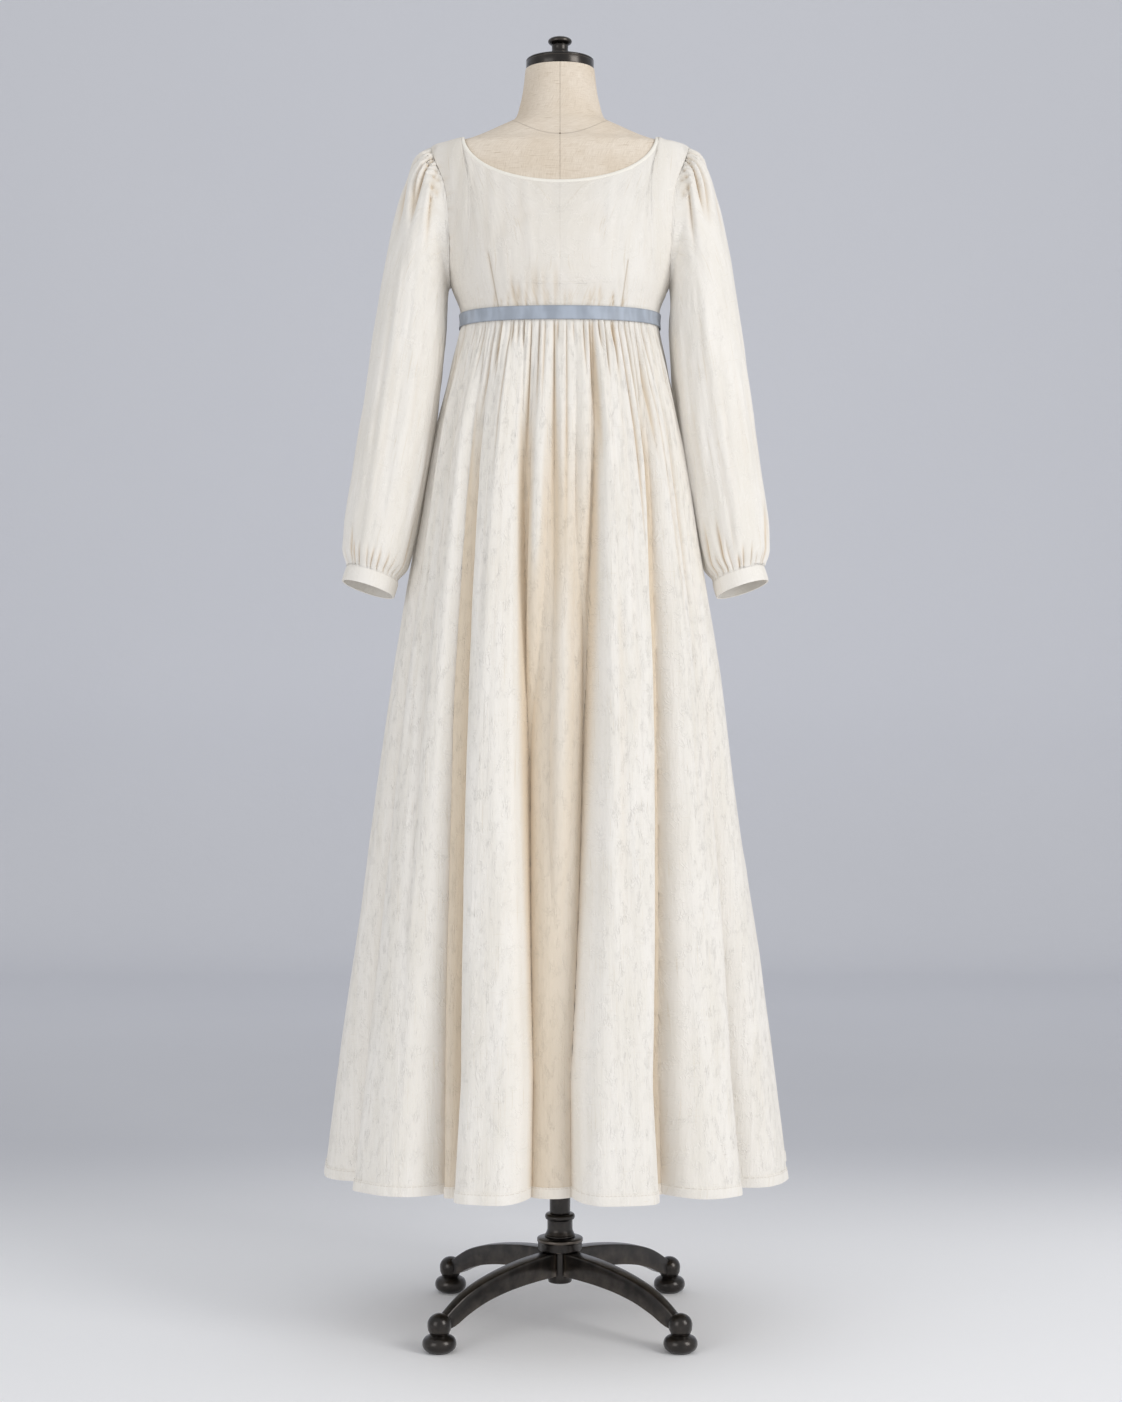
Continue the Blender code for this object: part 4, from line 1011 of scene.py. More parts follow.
def make_form():
    """The padded form's linen cover, from its flat base to the top of the neck."""
    columns, low_rows, high_rows = 193, 60, 130
    bulk_z = 1.50
    levels = np.concatenate([
        np.linspace(FORM_BOTTOM_Z + 0.012, bulk_z, low_rows, endpoint=False),
        np.linspace(bulk_z, NECK_TOP_Z, high_rows),
    ])
    angle, z = np.meshgrid(np.linspace(0, 2 * pi, columns), levels)
    points = body_point(angle, z, -form_tuck(angle, z))
    points[..., 0] = np.clip(points[..., 0], -ARM_PLATE_X, ARM_PLATE_X)
    low = points[:1] * (0.86, 0.84, 0.0) + (0.0, 0.0, FORM_BOTTOM_Z)
    points = np.concatenate([low, points])
    points[:, -1] = points[:, 0]
    across = np.linspace(-0.5, 0.5, columns)[None, :] * row_lengths(points)[:, None]
    obj = grid_mesh("form_linen_cover", points, np.stack([across, points[..., 2]], axis=-1))
    weld()
    # close the flat base, then the neck under its cap
    bpy.ops.mesh.select_all(action="DESELECT")
    bpy.ops.mesh.select_mode(type="EDGE")
    bpy.ops.mesh.select_non_manifold()
    bpy.ops.mesh.edge_face_add()
    bpy.ops.mesh.select_mode(type="VERT")
    bpy.ops.mesh.select_all(action="DESELECT")
    bpy.ops.mesh.select_non_manifold()
    bpy.ops.mesh.fill_holes(sides=0)
    bpy.ops.mesh.select_all(action="SELECT")
    bpy.ops.mesh.normals_make_consistent(inside=False)
    bpy.ops.object.mode_set(mode="OBJECT")
    bpy.ops.object.shade_smooth_by_angle(angle=radians(50))
    return obj


# ---- turned pieces ----
def arc(centre_r, centre_z, radius_r, radius_z, start_deg, end_deg, count=8):
    """Profile points on an elliptic arc, angles from the radius's direction, counterclockwise."""
    angles = np.radians(np.linspace(start_deg, end_deg, count + 1))
    return [(centre_r + radius_r * cos(a), centre_z + radius_z * sin(a)) for a in angles]


def turned(name, profile, place=(0.0, 0.0), steps=72):
    """A turned piece: a disc drawn up and sized at each (radius, z) of a profile, low to high."""
    x, y = place
    radius, z = profile[0]
    clear_selection()
    bpy.ops.mesh.primitive_circle_add(vertices=steps, radius=radius, fill_type="NGON",
                                      location=(x, y, z))
    obj = bpy.context.object
    obj.name = obj.data.name = name
    bpy.ops.object.transform_apply(location=True, rotation=True, scale=True)
    bpy.ops.object.mode_set(mode="EDIT")
    bpy.ops.mesh.select_mode(type="FACE")
    bpy.ops.mesh.select_all(action="SELECT")
    for next_radius, next_z in profile[1:]:
        bpy.ops.mesh.extrude_region_move(TRANSFORM_OT_translate={"value": (0.0, 0.0, next_z - z)})
        share = next_radius / radius
        bpy.ops.transform.resize(value=(share, share, 1.0), center_override=(x, y, next_z))
        radius, z = next_radius, next_z
    bpy.ops.mesh.select_all(action="SELECT")
    bpy.ops.mesh.normals_make_consistent(inside=False)
    bpy.ops.object.mode_set(mode="OBJECT")
    return obj


def soften(obj, width=0.0004, angle=32):
    """Round the sharp edges and shade the rest smooth."""
    edge = obj.modifiers.new("Edge", "BEVEL")
    edge.width = width
    edge.segments = 2
    edge.limit_method = "ANGLE"
    edge.angle_limit = radians(angle)
    edge.harden_normals = False
    make_active(obj)
    bpy.ops.object.modifier_apply(modifier=edge.name)
    bpy.ops.object.shade_smooth_by_angle(angle=radians(40))
    return obj


def raised(base, *rows):
    """Profile points from radii and heights over a base level."""
    return [(radius, base + height) for radius, height in rows]


def make_cap_and_knob():
    """The bronze disc on the neck and the knob screwed into it."""
    low = NECK_TOP_Z + SEAM
    high = low + CAP_HEIGHT
    r, turn = CAP_RADIUS, 0.0020
    profile = [(r - turn, low)] + arc(r - turn, low + turn, turn, turn, -80, 0, 4)
    profile += raised(high, (r, -0.0036), (r - 0.0005, -0.0033), (r, -0.0029))
    profile += arc(r - turn, high - turn, turn, turn, 0, 84, 5)
    profile += raised(high, (r - 0.008, 0.0003), (0.014, 0.0010), (0.004, 0.0010))
    cap = soften(turned("neck_cap_disc", profile, steps=96), 0.0003)

    base = high + 0.001 + SEAM
    profile = [(0.0090, base)] + arc(0.0105, base + 0.0038, 0.0036, 0.0037, -80, 76, 8)
    profile += raised(base, (0.0122, 0.0080), (0.0114, 0.0096), (0.0111, 0.0120))
    profile += raised(KNOB_TOP_Z, (0.0111, -0.0140), (0.0113, -0.0120))
    profile += arc(0.0063, KNOB_TOP_Z - 0.0055, 0.0100, 0.0055, -64, 87, 14)
    knob = soften(turned("cap_knob_turned", profile), 0.0003)
    return cap, knob


def make_pole():
    """The socket under the form, the pole, its collar and the hub that carries the legs."""
    top = FORM_BOTTOM_Z - SEAM
    profile = raised(top, (0.0190, -0.045), (0.0220, -0.043), (0.0240, -0.012), (0.0440, -0.006),
                     (0.0450, -0.004), (0.0450, 0.0))
    socket = soften(turned("form_socket_flange", profile))

    r, low = POLE_RADIUS, COLLAR_TOP_Z + SEAM
    profile = raised(low, (r - 0.0005, 0.0), (r, 0.0005))
    profile += [(r, z) for z in np.linspace(0.16, top - 0.046 - SEAM, 40)]
    profile += [(r - 0.0005, top - 0.045 - SEAM)]
    pole = soften(turned("stand_pole_tube", profile))

    low, high = HUB_TOP_Z + SEAM, COLLAR_TOP_Z
    profile = raised(low, (0.0206, 0.0), (0.0210, 0.0005), (0.0210, 0.0018), (0.0204, 0.0026),
                     (0.0196, 0.0030), (0.0192, 0.0044), (0.0180, 0.0068), (0.0172, 0.0096),
                     (0.0172, 0.0130))
    profile += raised(high, (0.0172, -0.0094), (0.0173, -0.0086))
    profile += arc(0.0170, high - 0.0042, 0.0034, 0.0042, -78, 70, 12)
    profile += raised(high, (0.0168, -0.0001), (0.0160, 0.0))
    collar = soften(turned("pole_collar_ring", profile), 0.0003)

    r, top = HUB_RADIUS, HUB_TOP_Z
    profile = [(0.0140, 0.0525), (0.0152, 0.0528), (0.0160, 0.0536), (0.0160, 0.0552), (0.0166, 0.0562)]
    profile += [(0.0168, z) for z in np.linspace(0.058, top - 0.0200, 12)]
    profile += raised(top, (0.0170, -0.0182), (r - 0.0036, -0.0182), (r - 0.0022, -0.0176),
                      (r - 0.0014, -0.0164), (r - 0.0014, -0.0070), (r - 0.0004, -0.0064),
                      (r, -0.0056), (r, -0.0026), (r - 0.0006, -0.0016), (r - 0.0050, -0.0004),
                      (0.0230, 0.0))
    hub = soften(turned("base_hub_turned", profile, steps=96), 0.0003)
    return socket, pole, collar, hub


def leg_bar(name):
    """A curved bar along +X, drawn out section by section, its upper edges bevelled."""
    reaches = np.linspace(LEG[0][0], LEG[-1][0], 34)
    top, low, width = (smooth_read(reaches, LEG_TABLE["reach"], LEG_TABLE[column])
                       for column in ("top_z", "bottom_z", "width"))
    middle, height = (top + low) / 2, top - low
    first = reaches[1] - reaches[0]
    clear_selection()
    bpy.ops.mesh.primitive_cube_add(size=1.0, location=(reaches[0] + first / 2, 0.0, middle[0]),
                                    scale=(first, width[0], height[0]))
    obj = bpy.context.object
    obj.name = obj.data.name = f"leg_{name}_cast"
    bpy.ops.object.transform_apply(location=True, rotation=True, scale=True)
    for face in obj.data.polygons:
        face.select = bool(face.normal.x > 0.9)
    for edge in obj.data.edges:
        edge.select = False
    for corner in obj.data.vertices:
        corner.select = bool(corner.co.x > reaches[0] + first / 2)
    bpy.ops.object.mode_set(mode="EDIT")
    bpy.ops.mesh.select_mode(type="FACE")
    for k in range(2, len(reaches)):
        move = (reaches[k] - reaches[k - 1], 0.0, middle[k] - middle[k - 1])
        bpy.ops.mesh.extrude_region_move(TRANSFORM_OT_translate={"value": move})
        size = (1.0, width[k] / width[k - 1], height[k] / height[k - 1])
        bpy.ops.transform.resize(value=size, center_override=(reaches[k], 0.0, middle[k]))
    bpy.ops.mesh.select_all(action="SELECT")
    bpy.ops.mesh.normals_make_consistent(inside=False)
    bpy.ops.mesh.select_all(action="DESELECT")
    bpy.ops.object.mode_set(mode="OBJECT")
    bpy.context.tool_settings.mesh_select_mode = (False, True, False)
    corners = obj.data.vertices
    for edge in obj.data.edges:
        a, b = (corners[i].co for i in edge.vertices)
        along = abs(a.x - b.x) > 0.002 and a.y * b.y > 0
        upper = (a.z + b.z) / 2 > np.interp((a.x + b.x) / 2, reaches, middle)
        edge.select = bool(along and upper)
    bpy.ops.object.mode_set(mode="EDIT")
    bpy.ops.mesh.bevel(offset=0.0030, segments=2, profile=0.6, affect="EDGES")
    bpy.ops.object.mode_set(mode="OBJECT")
    return soften(obj, 0.0007, 40)


def make_leg(name, angle_deg):
    """A leg with the knuckle at its end, turned to its place."""
    obj = leg_bar(name)
    r = KNUCKLE_RADIUS
    profile = raised(FOOT_HEIGHT + SEAM, (r - 0.0036, 0.0), (r - 0.0030, 0.0004), (r - 0.0022, 0.0020))
    profile += [(r - 0.0005, 0.0290)] + arc(0.0, 0.0355, r, 0.0145, 0, 84, 14)
    knuckle = turned(f"leg_{name}_knuckle", profile, (FOOT_REACH, 0.0), 48)
    join = obj.modifiers.new("Knuckle", "BOOLEAN")
    join.operation = "UNION"
    join.solver = "EXACT"
    join.object = knuckle
    make_active(obj)
    bpy.ops.object.modifier_apply(modifier=join.name)
    bpy.data.objects.remove(knuckle, do_unlink=True)
    obj.rotation_euler.z = radians(angle_deg)
    make_active(obj)
    bpy.ops.object.transform_apply(location=True, rotation=True, scale=True)
    bpy.ops.object.shade_smooth_by_angle(angle=radians(38))
    return obj


def make_foot(name, angle_deg):
    """A flattened bun foot with a small neck under the knuckle."""
    r, h = FOOT_RADIUS, FOOT_HEIGHT
    profile = [(0.0142, 0.0), (0.0150, 0.0006)]
    profile += arc(r - 0.0095, h / 2 - 0.0004, 0.0095, h / 2 - 0.0012, -66, 66, 14)
    profile += [(0.0126, h - 0.0006), (0.0120, h)]
    angle = radians(angle_deg)
    obj = turned(f"foot_{name}_bun", profile, (FOOT_REACH * cos(angle), FOOT_REACH * sin(angle)), 56)
    return soften(obj, 0.0003)


# ---- finishes ----
def maths(kind, reflected=False):
    """An operator of Value that makes one maths node."""
    def apply(self, other=None):
        terms = (other, self) if reflected else (self, other)
        inputs = {k: term for k, term in enumerate(terms) if term is not None}
        return Value(self.finish, self.finish.node("Math", {"operation": kind}, inputs).outputs[0])
    return apply


class Value:
    """A shader socket that can be used in sums."""

    def __init__(self, finish, socket):
        self.finish, self.socket = finish, socket

    __add__ = maths("ADD")
    __radd__ = maths("ADD", reflected=True)
    __sub__ = maths("SUBTRACT")
    __rsub__ = maths("SUBTRACT", reflected=True)
    __mul__ = maths("MULTIPLY")
    __rmul__ = maths("MULTIPLY", reflected=True)
    __abs__ = maths("ABSOLUTE")
    wave = maths("SINE")

    def step(self, start, end):
        """0 at start and 1 at end, smooth between; start may be the larger."""
        settings = {"interpolation_type": "SMOOTHSTEP", "clamp": True}
        if start < end:
            places = {0: self, 1: start, 2: end, 3: 0.0, 4: 1.0}
        else:
            places = {0: self, 1: end, 2: start, 3: 1.0, 4: 0.0}
        return Value(self.finish, self.finish.node("MapRange", settings, places).outputs[0])


class Finish:
    """A material under construction."""

    def __init__(self, name):
        self.made = bpy.data.materials.new(name)
        self.made.use_nodes = True
        self.tree = self.made.node_tree
        self.shader = self.tree.nodes["Principled BSDF"]

    def node(self, kind, settings=None, inputs=None):
        """One node of a kind, its settings made first, then its sockets' values or links."""
        made = self.tree.nodes.new(f"ShaderNode{kind}")
        for name, value in (settings or {}).items():
            setattr(made, name, value)
        for name, value in (inputs or {}).items():
            self.feed(made.inputs[name], value)
        return made

    def feed(self, socket, value):
        """Link a socket to another, or set its value."""
        if isinstance(value, Value):
            self.tree.links.new(value.socket, socket)
        elif isinstance(value, bpy.types.NodeSocket):
            self.tree.links.new(value, socket)
        elif isinstance(value, tuple) and len(value) == 3 and socket.type == "RGBA":
            socket.default_value = (*value, 1.0)
        else:
            socket.default_value = value

    def set(self, **inputs):
        """Feed values or links to the shader."""
        for name, value in inputs.items():
            self.feed(self.shader.inputs[name.replace("_", " ")], value)

    def fix(self, **inputs):
        """Set constants on the shader's own sockets."""
        for name, value in inputs.items():
            self.shader.inputs[name.replace("_", " ")].default_value = value

    def axes(self, vector):
        parts = self.node("SeparateXYZ", None, {0: vector})
        return [Value(self, parts.outputs[i]) for i in range(3)]

    def vector(self, x, y, z=0.0):
        return self.node("CombineXYZ", None, {0: x, 1: y, 2: z}).outputs[0]

    def place(self):
        """The place on the piece, in metres."""
        return self.node("TexCoord").outputs["Object"]

    def cut(self):
        """The place on the flat cloth, in metres."""
        return self.node("UVMap", {"uv_map": "cut"}).outputs[0]

    def own(self, name):
        """One of the mesh's own attributes."""
        return Value(self, self.node("Attribute", {"attribute_name": name}).outputs["Fac"])

    def noise(self, vector, scale, detail=2.0, rough=0.5, distort=0.0):
        inputs = {"Vector": vector, "Scale": scale, "Detail": detail, "Roughness": rough,
                  "Distortion": distort}
        return Value(self, self.node("TexNoise", None, inputs).outputs[0])

    def grain(self, u, v, detail=2.0, rough=0.5, distort=0.0):
        """Noise over the flat cloth; u and v are its places times the counts per metre."""
        return self.noise(self.vector(u, v), 1.0, detail, rough, distort)

    def cells(self, vector, scale, jitter=1.0):
        """Distance to the borders of scattered cells."""
        inputs = {"Vector": vector, "Scale": scale, "Randomness": jitter}
        return Value(self, self.node("TexVoronoi", {"feature": "DISTANCE_TO_EDGE"}, inputs).outputs[0])

    def mix(self, share, first, second):
        settings = {"data_type": "RGBA", "blend_type": "MIX"}
        return self.node("Mix", settings, {0: share, 6: first, 7: second}).outputs[2]

    def bump(self, height, distance, strength=1.0, normal=None):
        inputs = {"Height": height, "Distance": distance, "Strength": strength}
        if normal is not None:
            inputs["Normal"] = normal
        return self.node("Bump", None, inputs).outputs[0]


def line(value, half_width, soft=0.0004):
    """1 within half_width of where a value is nothing, softened at its edges."""
    return abs(value).step(half_width + soft, half_width)


def times(colour, *shares):
    """A colour times one share, or times one share for each channel, kept within 1."""
    return tuple(min(1.0, c * k) for c, k in zip(colour, shares * 3))


CREASE_DEPTH = 0.00034     # bump depths in metres
CRINKLE_DEPTH = 0.0012
CRUMPLE_DEPTH = 0.0005
THREAD_DEPTH = 0.00016
SEWN_DEPTH = 0.0005
STITCH_DEPTH = 0.0002
PAINTED_GLOW = 0.10       # strength of a glow painted on the cloth, most in its folds, for the light that thin cloth lets through
PAINTED_GLOW_COLOUR = (0.75, 0.68, 0.56)


def crinkled(finish, u, v, cut):
    """Heights from 0 to 1 of the cloth's weave, long crinkles and crackled creases."""
    threads = finish.grain(u * 900.0, v * 42.0, 1.0) + finish.grain(u * 38.0, v * 900.0, 1.0)
    crinkle = finish.grain(u * 150.0, v * 11.0, 3.0, 0.6, 0.3)
    bent = finish.noise(cut, 26.0) * 6.0
    creases = finish.cells(finish.vector(u * 230.0 + bent, v * 135.0 - bent), 1.0).step(0.0, 0.12)
    patchy = finish.grain(u * 70.0 + 9.0, v * 45.0).step(0.42, 0.62)
    return threads, crinkle, (1.0 - creases) * patchy


def cloth_finish(name, colours, relief=1.0, lines=None):
    """Crinkled linen-like cloth, ivory, with warm tan shade painted in its folds, highlights painted on
    its creases and fold rims, and a faint painted glow.
    """
    finish = Finish(name)
    cut = finish.cut()
    u, v, _ = finish.axes(cut)
    fold = finish.own("fold_shade")
    threads, crinkle, creased = crinkled(finish, u, v, cut)
    slubs = finish.grain(u * 420.0, v * 16.0).step(0.60, 0.74)
    cross = finish.grain(u * 30.0, v * 520.0).step(0.62, 0.76)
    cloudy = finish.grain(u * 26.0, v * 7.0, 3.0)
    base = finish.mix(cloudy.step(0.30, 0.72), colours["crest"], colours["body"])
    base = finish.mix(slubs * 0.34 + cross * 0.20, base, colours["slub"])
    # painted highlight: the crackled creases are painted paler, as where they catch the light
    base = finish.mix(creased * 0.45, base, times(colours["crest"], 1.06))
    # painted highlight along the folds' rims, where fold_shade is below nothing
    base = finish.mix(fold.step(-0.02, -0.45) * 0.5, base, times(colours["crest"], 1.07))
    # painted shade: warm tan where fold_shade is high, deep in the folds and gathers
    base = finish.mix(fold.step(0.05, 1.0) * 0.85, base, colours["valley"])

    # painted glow: the whole cloth glows faintly and most in deep folds of the lower skirt, standing in
    # for light that the thin cloth lets through
    z = finish.axes(finish.place())[2]
    deep = fold.step(0.32, 1.0) * (0.20 + z.step(0.30, 0.85) * 0.75) * z.step(1.28, 1.10)
    finish.set(Emission_Color=finish.mix(deep, times(colours["body"], 0.30), colours["through"]))
    finish.fix(Emission_Strength=PAINTED_GLOW)

    crumple = finish.grain(u * 64.0, v * 40.0, 3.0, 0.55, 0.15)
    normal = finish.bump(threads, THREAD_DEPTH * relief)
    normal = finish.bump(crumple, CRUMPLE_DEPTH * relief, normal=normal)
    normal = finish.bump(crinkle, CRINKLE_DEPTH * relief, normal=normal)
    depth = creased * (CREASE_DEPTH * relief)
    if lines:
        sewn, sunk = lines(finish, u, v)
        base = finish.mix(sewn * 0.55, base, colours["seam"])
        depth = depth - sunk
    finish.set(Base_Color=base, Roughness=0.82 + crinkle * 0.12)
    finish.set(Normal=finish.bump(depth, 1.0, normal=normal))
    finish.fix(Sheen_Weight=0.08, Sheen_Roughness=0.5, Specular_IOR_Level=0.25)
    return finish


def bodice_lines(finish, u, v):
    """The centre seams and the darts, as thin sunk lines."""
    x, y, z = finish.axes(finish.place())
    front = y.step(0.0, -0.01)
    sewn = line(x, 0.0002, 0.0005) * 0.12
    for mirror, hand in ((1, "left"), (-1, "right")):
        tip_x, tip_z, foot_x, foot_z = DARTS[hand]
        lean = (tip_x - foot_x) / (tip_z - foot_z)
        away = x * mirror - (foot_x - lean * foot_z) - z * lean
        dart = line(away, 0.0003, 0.0008) * front * z.step(tip_z + 0.001, tip_z - 0.004)
        sewn = sewn + dart
    return sewn, sewn * SEWN_DEPTH


def hem_lines(finish, u, v):
    """The row of stitches that holds the hem's upper edge."""
    row_at = -(WAIST_Z - HEM_Z - HEM_DEPTH) - 0.0016
    row = line(v - row_at, 0.0002, 0.0006)
    dash = abs((u * 420.0).wave()).step(0.25, 0.55)
    sewn = row * dash
    return sewn * 0.5, sewn * STITCH_DEPTH


def ribbon_finish(colour):
    """Slate blue satin with light and dark patches, darker along both edges."""
    finish = Finish("ribbon_satin_weave")
    u, v, _ = finish.axes(finish.cut())
    patches = finish.grain(u * 62.0, v * 18.0)
    ribs = finish.grain(u * 60.0, v * 2600.0, 1.0)
    half = RIBBON_WIDTH / 2
    edge = abs(v + half).step(half - 0.0016, half - 0.0004)
    pale = tuple(min(1.0, c * 1.14 + 0.008) for c in colour)
    base = finish.mix(patches.step(0.34, 0.66), times(colour, 0.88), pale)
    base = finish.mix(edge * 0.35, base, times(colour, 0.45))
    finish.set(Base_Color=base, Roughness=0.42 + patches * 0.12)
    finish.fix(Sheen_Weight=0.15)
    finish.set(Normal=finish.bump(ribs, 0.00008, normal=finish.bump(patches, 0.0009)))
    return finish


def linen_finish(colours):
    """Plain-woven beige linen with slubs both ways and the form's sewn seams."""
    finish = Finish("form_linen_weave")
    u, v, _ = finish.axes(finish.cut())
    x, y, z = finish.axes(finish.place())
    weave = finish.grain(u * 1500.0, v * 90.0) + finish.grain(u * 90.0, v * 1500.0)
    slub_across = finish.grain(u * 55.0, v * 640.0).step(0.62, 0.74)
    slub_down = finish.grain(u * 640.0, v * 55.0).step(0.64, 0.76)
    cloudy = finish.noise(finish.place(), 14.0, 3.0)

    # the centre seam, the seam round the foot of the neck, lower in front, and the knot where they meet
    centre = line(x, 0.0003, 0.0005)
    front = y.step(0.004, -0.004)
    neck_line = z - (1.599 + 5.8 * (x * x)) * front - (1.634 - 1.6 * (x * x)) * (1.0 - front)
    neck_seam = line(neck_line, 0.0005, 0.0006)
    knot = (x * x + neck_line * neck_line).step(0.0000022, 0.0000008)

    base = finish.mix(cloudy.step(0.3, 0.7), colours["light"], colours["body"])
    for share in (weave.step(0.80, 1.20) * 0.30, slub_across * 0.62, slub_down * 0.56):
        base = finish.mix(share, base, colours["thread"])
    for share in (centre * 0.30, neck_seam * 0.25, knot * 0.8):
        base = finish.mix(share, base, colours["seam"])
    finish.set(Base_Color=base, Roughness=0.86 + cloudy * 0.08)
    finish.fix(Specular_IOR_Level=0.25)
    normal = finish.bump(weave, 0.0003)
    finish.set(Normal=finish.bump(1.0 - centre - neck_seam, 0.0002, normal=normal))
    return finish


def bronze_finish(colours):
    """Dark patinated bronze, browner and brighter along its sharp edges: partly rubbed wear, partly a
    painted highlight.
    """
    finish = Finish("bronze_patina")
    place = finish.place()
    worn_and_highlight = Value(finish, finish.node("NewGeometry").outputs["Pointiness"])
    mottle = finish.noise(place, 55.0, 3.0, 0.5)
    fine = finish.noise(place, 900.0, 2.0)
    # along sharp edges the metal is painted browner and brighter: partly rubbed wear, partly a painted
    # highlight
    edge = (worn_and_highlight + (mottle - 0.5) * 0.02).step(0.522, 0.556)
    base = finish.mix(mottle.step(0.20, 0.80), colours["dark"], colours["body"])
    base = finish.mix(edge * 0.30, base, colours["worn_and_highlight"])
    finish.set(Base_Color=base, Roughness=0.30 + mottle * 0.05)
    finish.fix(Metallic=0.9, Coat_Weight=0.6, Coat_Roughness=0.2)
    finish.set(Normal=finish.bump(fine, 0.00002, normal=finish.bump(mottle, 0.00004)))
    return finish


def studio_finish(name, paper, floor):
    """Matt paper: a pale floor with shade painted far in front, behind the stand and towards the sides,
    and lighter up the wall, a painted fall-off of the studio's light.
    """
    finish = Finish(name)
    x, y, z = finish.axes(finish.place())
    cloud = finish.noise(finish.place(), 1.3, 4.0)
    # painted shade: darker paper far in front, behind the stand and towards the sides, lighter up the
    # wall
    deep = times(paper, 0.80)
    front = finish.mix(y.step(-0.7, -2.0) * 0.5, floor, times(paper, 0.5))
    near = finish.mix(y.step(1.35, 0.30), deep, front)
    far = finish.mix(y.step(1.6, 3.4), near, times(paper, 0.905))
    wall = finish.mix(z.step(0.25, 1.0), far, paper)
    side = finish.mix(abs(x).step(0.33, 2.5) * 0.14, wall, deep)
    base = finish.mix(cloud.step(0.3, 0.7) * 0.05, side, floor)
    finish.set(Base_Color=base, Roughness=0.75 + cloud * 0.1)
    finish.set(Normal=finish.bump(finish.noise(finish.place(), 60.0, 3.0), 0.0004))
    return finish


def dress(obj, *finishes):
    obj.data.materials.clear()
    for finish in finishes:
        obj.data.materials.append(finish.made)


# ---- settings shown in the panel ----
def colour_choice(name, description, default):
    return bpy.props.FloatVectorProperty(name=name, description=description, subtype="COLOR", size=3,
                                         min=0.0, max=1.0, default=default)


def number(name, description, default, least, most, unit="NONE"):
    return bpy.props.FloatProperty(name=name, description=description, default=default,
                                   min=least, max=most, unit=unit)


class GownSettings(bpy.types.PropertyGroup):
    """Cloth colours and the hand of the gathers."""

    crest: colour_choice("Crests", "Ivory of the cloth where a fold stands out", (0.85, 0.82, 0.775))
    body: colour_choice("Cloth", "Cream of the cloth between", (0.80, 0.765, 0.705))
    slub: colour_choice("Slubs", "Warmer threads and creases", (0.66, 0.575, 0.44))
    # valleys: the warm tan painted as shade in the depth of a fold
    valley: colour_choice("Valleys", "Warm tan in the depth of a fold", (0.655, 0.54, 0.40))
    ribbon: colour_choice("Ribbon", "Slate blue of the waist ribbon", (0.355, 0.400, 0.472))
    binding: colour_choice("Binding", "Bright ivory of the neck binding", (0.87, 0.84, 0.77))
    hand: bpy.props.IntProperty(name="Hand", description="Which set of uneven gathers is sewn",
                                default=11, min=0, max=9999)


class FormSettings(bpy.types.PropertyGroup):
    """Colours of the linen form and its bronze stand."""

    linen_light: colour_choice("Linen, light", "Pale threads of the linen", (0.84, 0.755, 0.65))
    linen_body: colour_choice("Linen", "Ground of the linen", (0.765, 0.665, 0.545))
    thread: colour_choice("Thread", "Darker slubs of the linen", (0.50, 0.40, 0.29))
    seam: colour_choice("Seam", "Shadow in a sewn seam", (0.16, 0.115, 0.08))
    bronze_dark: colour_choice("Bronze, dark", "Deepest patina", (0.016, 0.0135, 0.012))
    bronze_body: colour_choice("Bronze", "Patina of the metal", (0.036, 0.030, 0.026))
    # edge colour: partly rubbed wear, partly a highlight painted along the edges
    bronze_worn_and_highlight: colour_choice("Bronze, worn", "Rubbed edges of the metal", (0.42, 0.34, 0.27))


class StudioSettings(bpy.types.PropertyGroup):
    """Camera, light and backdrop."""

    paper: colour_choice("Backdrop", "Pale grey paper of the wall", (0.79, 0.802, 0.852))
    floor_tone: colour_choice("Floor", "Pale grey floor", (0.955, 0.96, 0.98))
    distance: number("Distance", "From the camera to the pole", 3.2, 1.0, 20.0, "LENGTH")
    eye: number("Eye height", "Height of the camera over the floor", 0.842, 0.1, 3.0, "LENGTH")
    lens: number("Lens", "Focal length in millimetres", 60.42, 20.0, 200.0, "CAMERA")
    key_power: number("Key light", "Power of the soft key light, in watts", 61.0, 0.0, 2000.0)
    fill_power: number("Fill light", "Power of the fill light, in watts", 27.0, 0.0, 2000.0)
    sky: number("Room light", "Strength of the even light of the room", 0.60, 0.0, 5.0)


def settle(obj, node):
    """Fix a piece to the stand's body, in place of its plain solid."""
    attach(obj, "root")
    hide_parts(node)


def need(kind, *objs):
    """Stop the script when a piece has no faces."""
    for obj in objs:
        if not obj.data.polygons:
            raise RuntimeError(f"the {kind} could not be made")


FINISHES = {}              # materials made so far, by name


def gown_finish(name, relief=1.0, lines=None, painted_shade_tone=1.0, warm=0.0):
    """The gown's cloth, made once for each use; a tone below 1 with warm makes a darker, warmer copy,
    painted shade, and warm takes more from green and blue than from red.
    """
    if name not in FINISHES:
        gown = bpy.context.scene.gown
        tint = [painted_shade_tone * (1.0 - warm * share) for share in (0.6, 0.9, 1.6)]
        colours = {key: times(getattr(gown, key), *tint) for key in ("crest", "body", "slub", "valley")}
        colours["seam"] = times(colours["valley"], 0.8)
        colours["through"] = times(PAINTED_GLOW_COLOUR, painted_shade_tone)
        FINISHES[name] = cloth_finish(name, colours, relief, lines)
    return FINISHES[name]


def metal():
    """The stand's bronze, made once."""
    if "bronze" not in FINISHES:
        form = bpy.context.scene.form_and_stand
        colours = {"dark": tuple(form.bronze_dark), "body": tuple(form.bronze_body),
                   "worn_and_highlight": tuple(form.bronze_worn_and_highlight)}
        FINISHES["bronze"] = bronze_finish(colours)
    return FINISHES["bronze"]


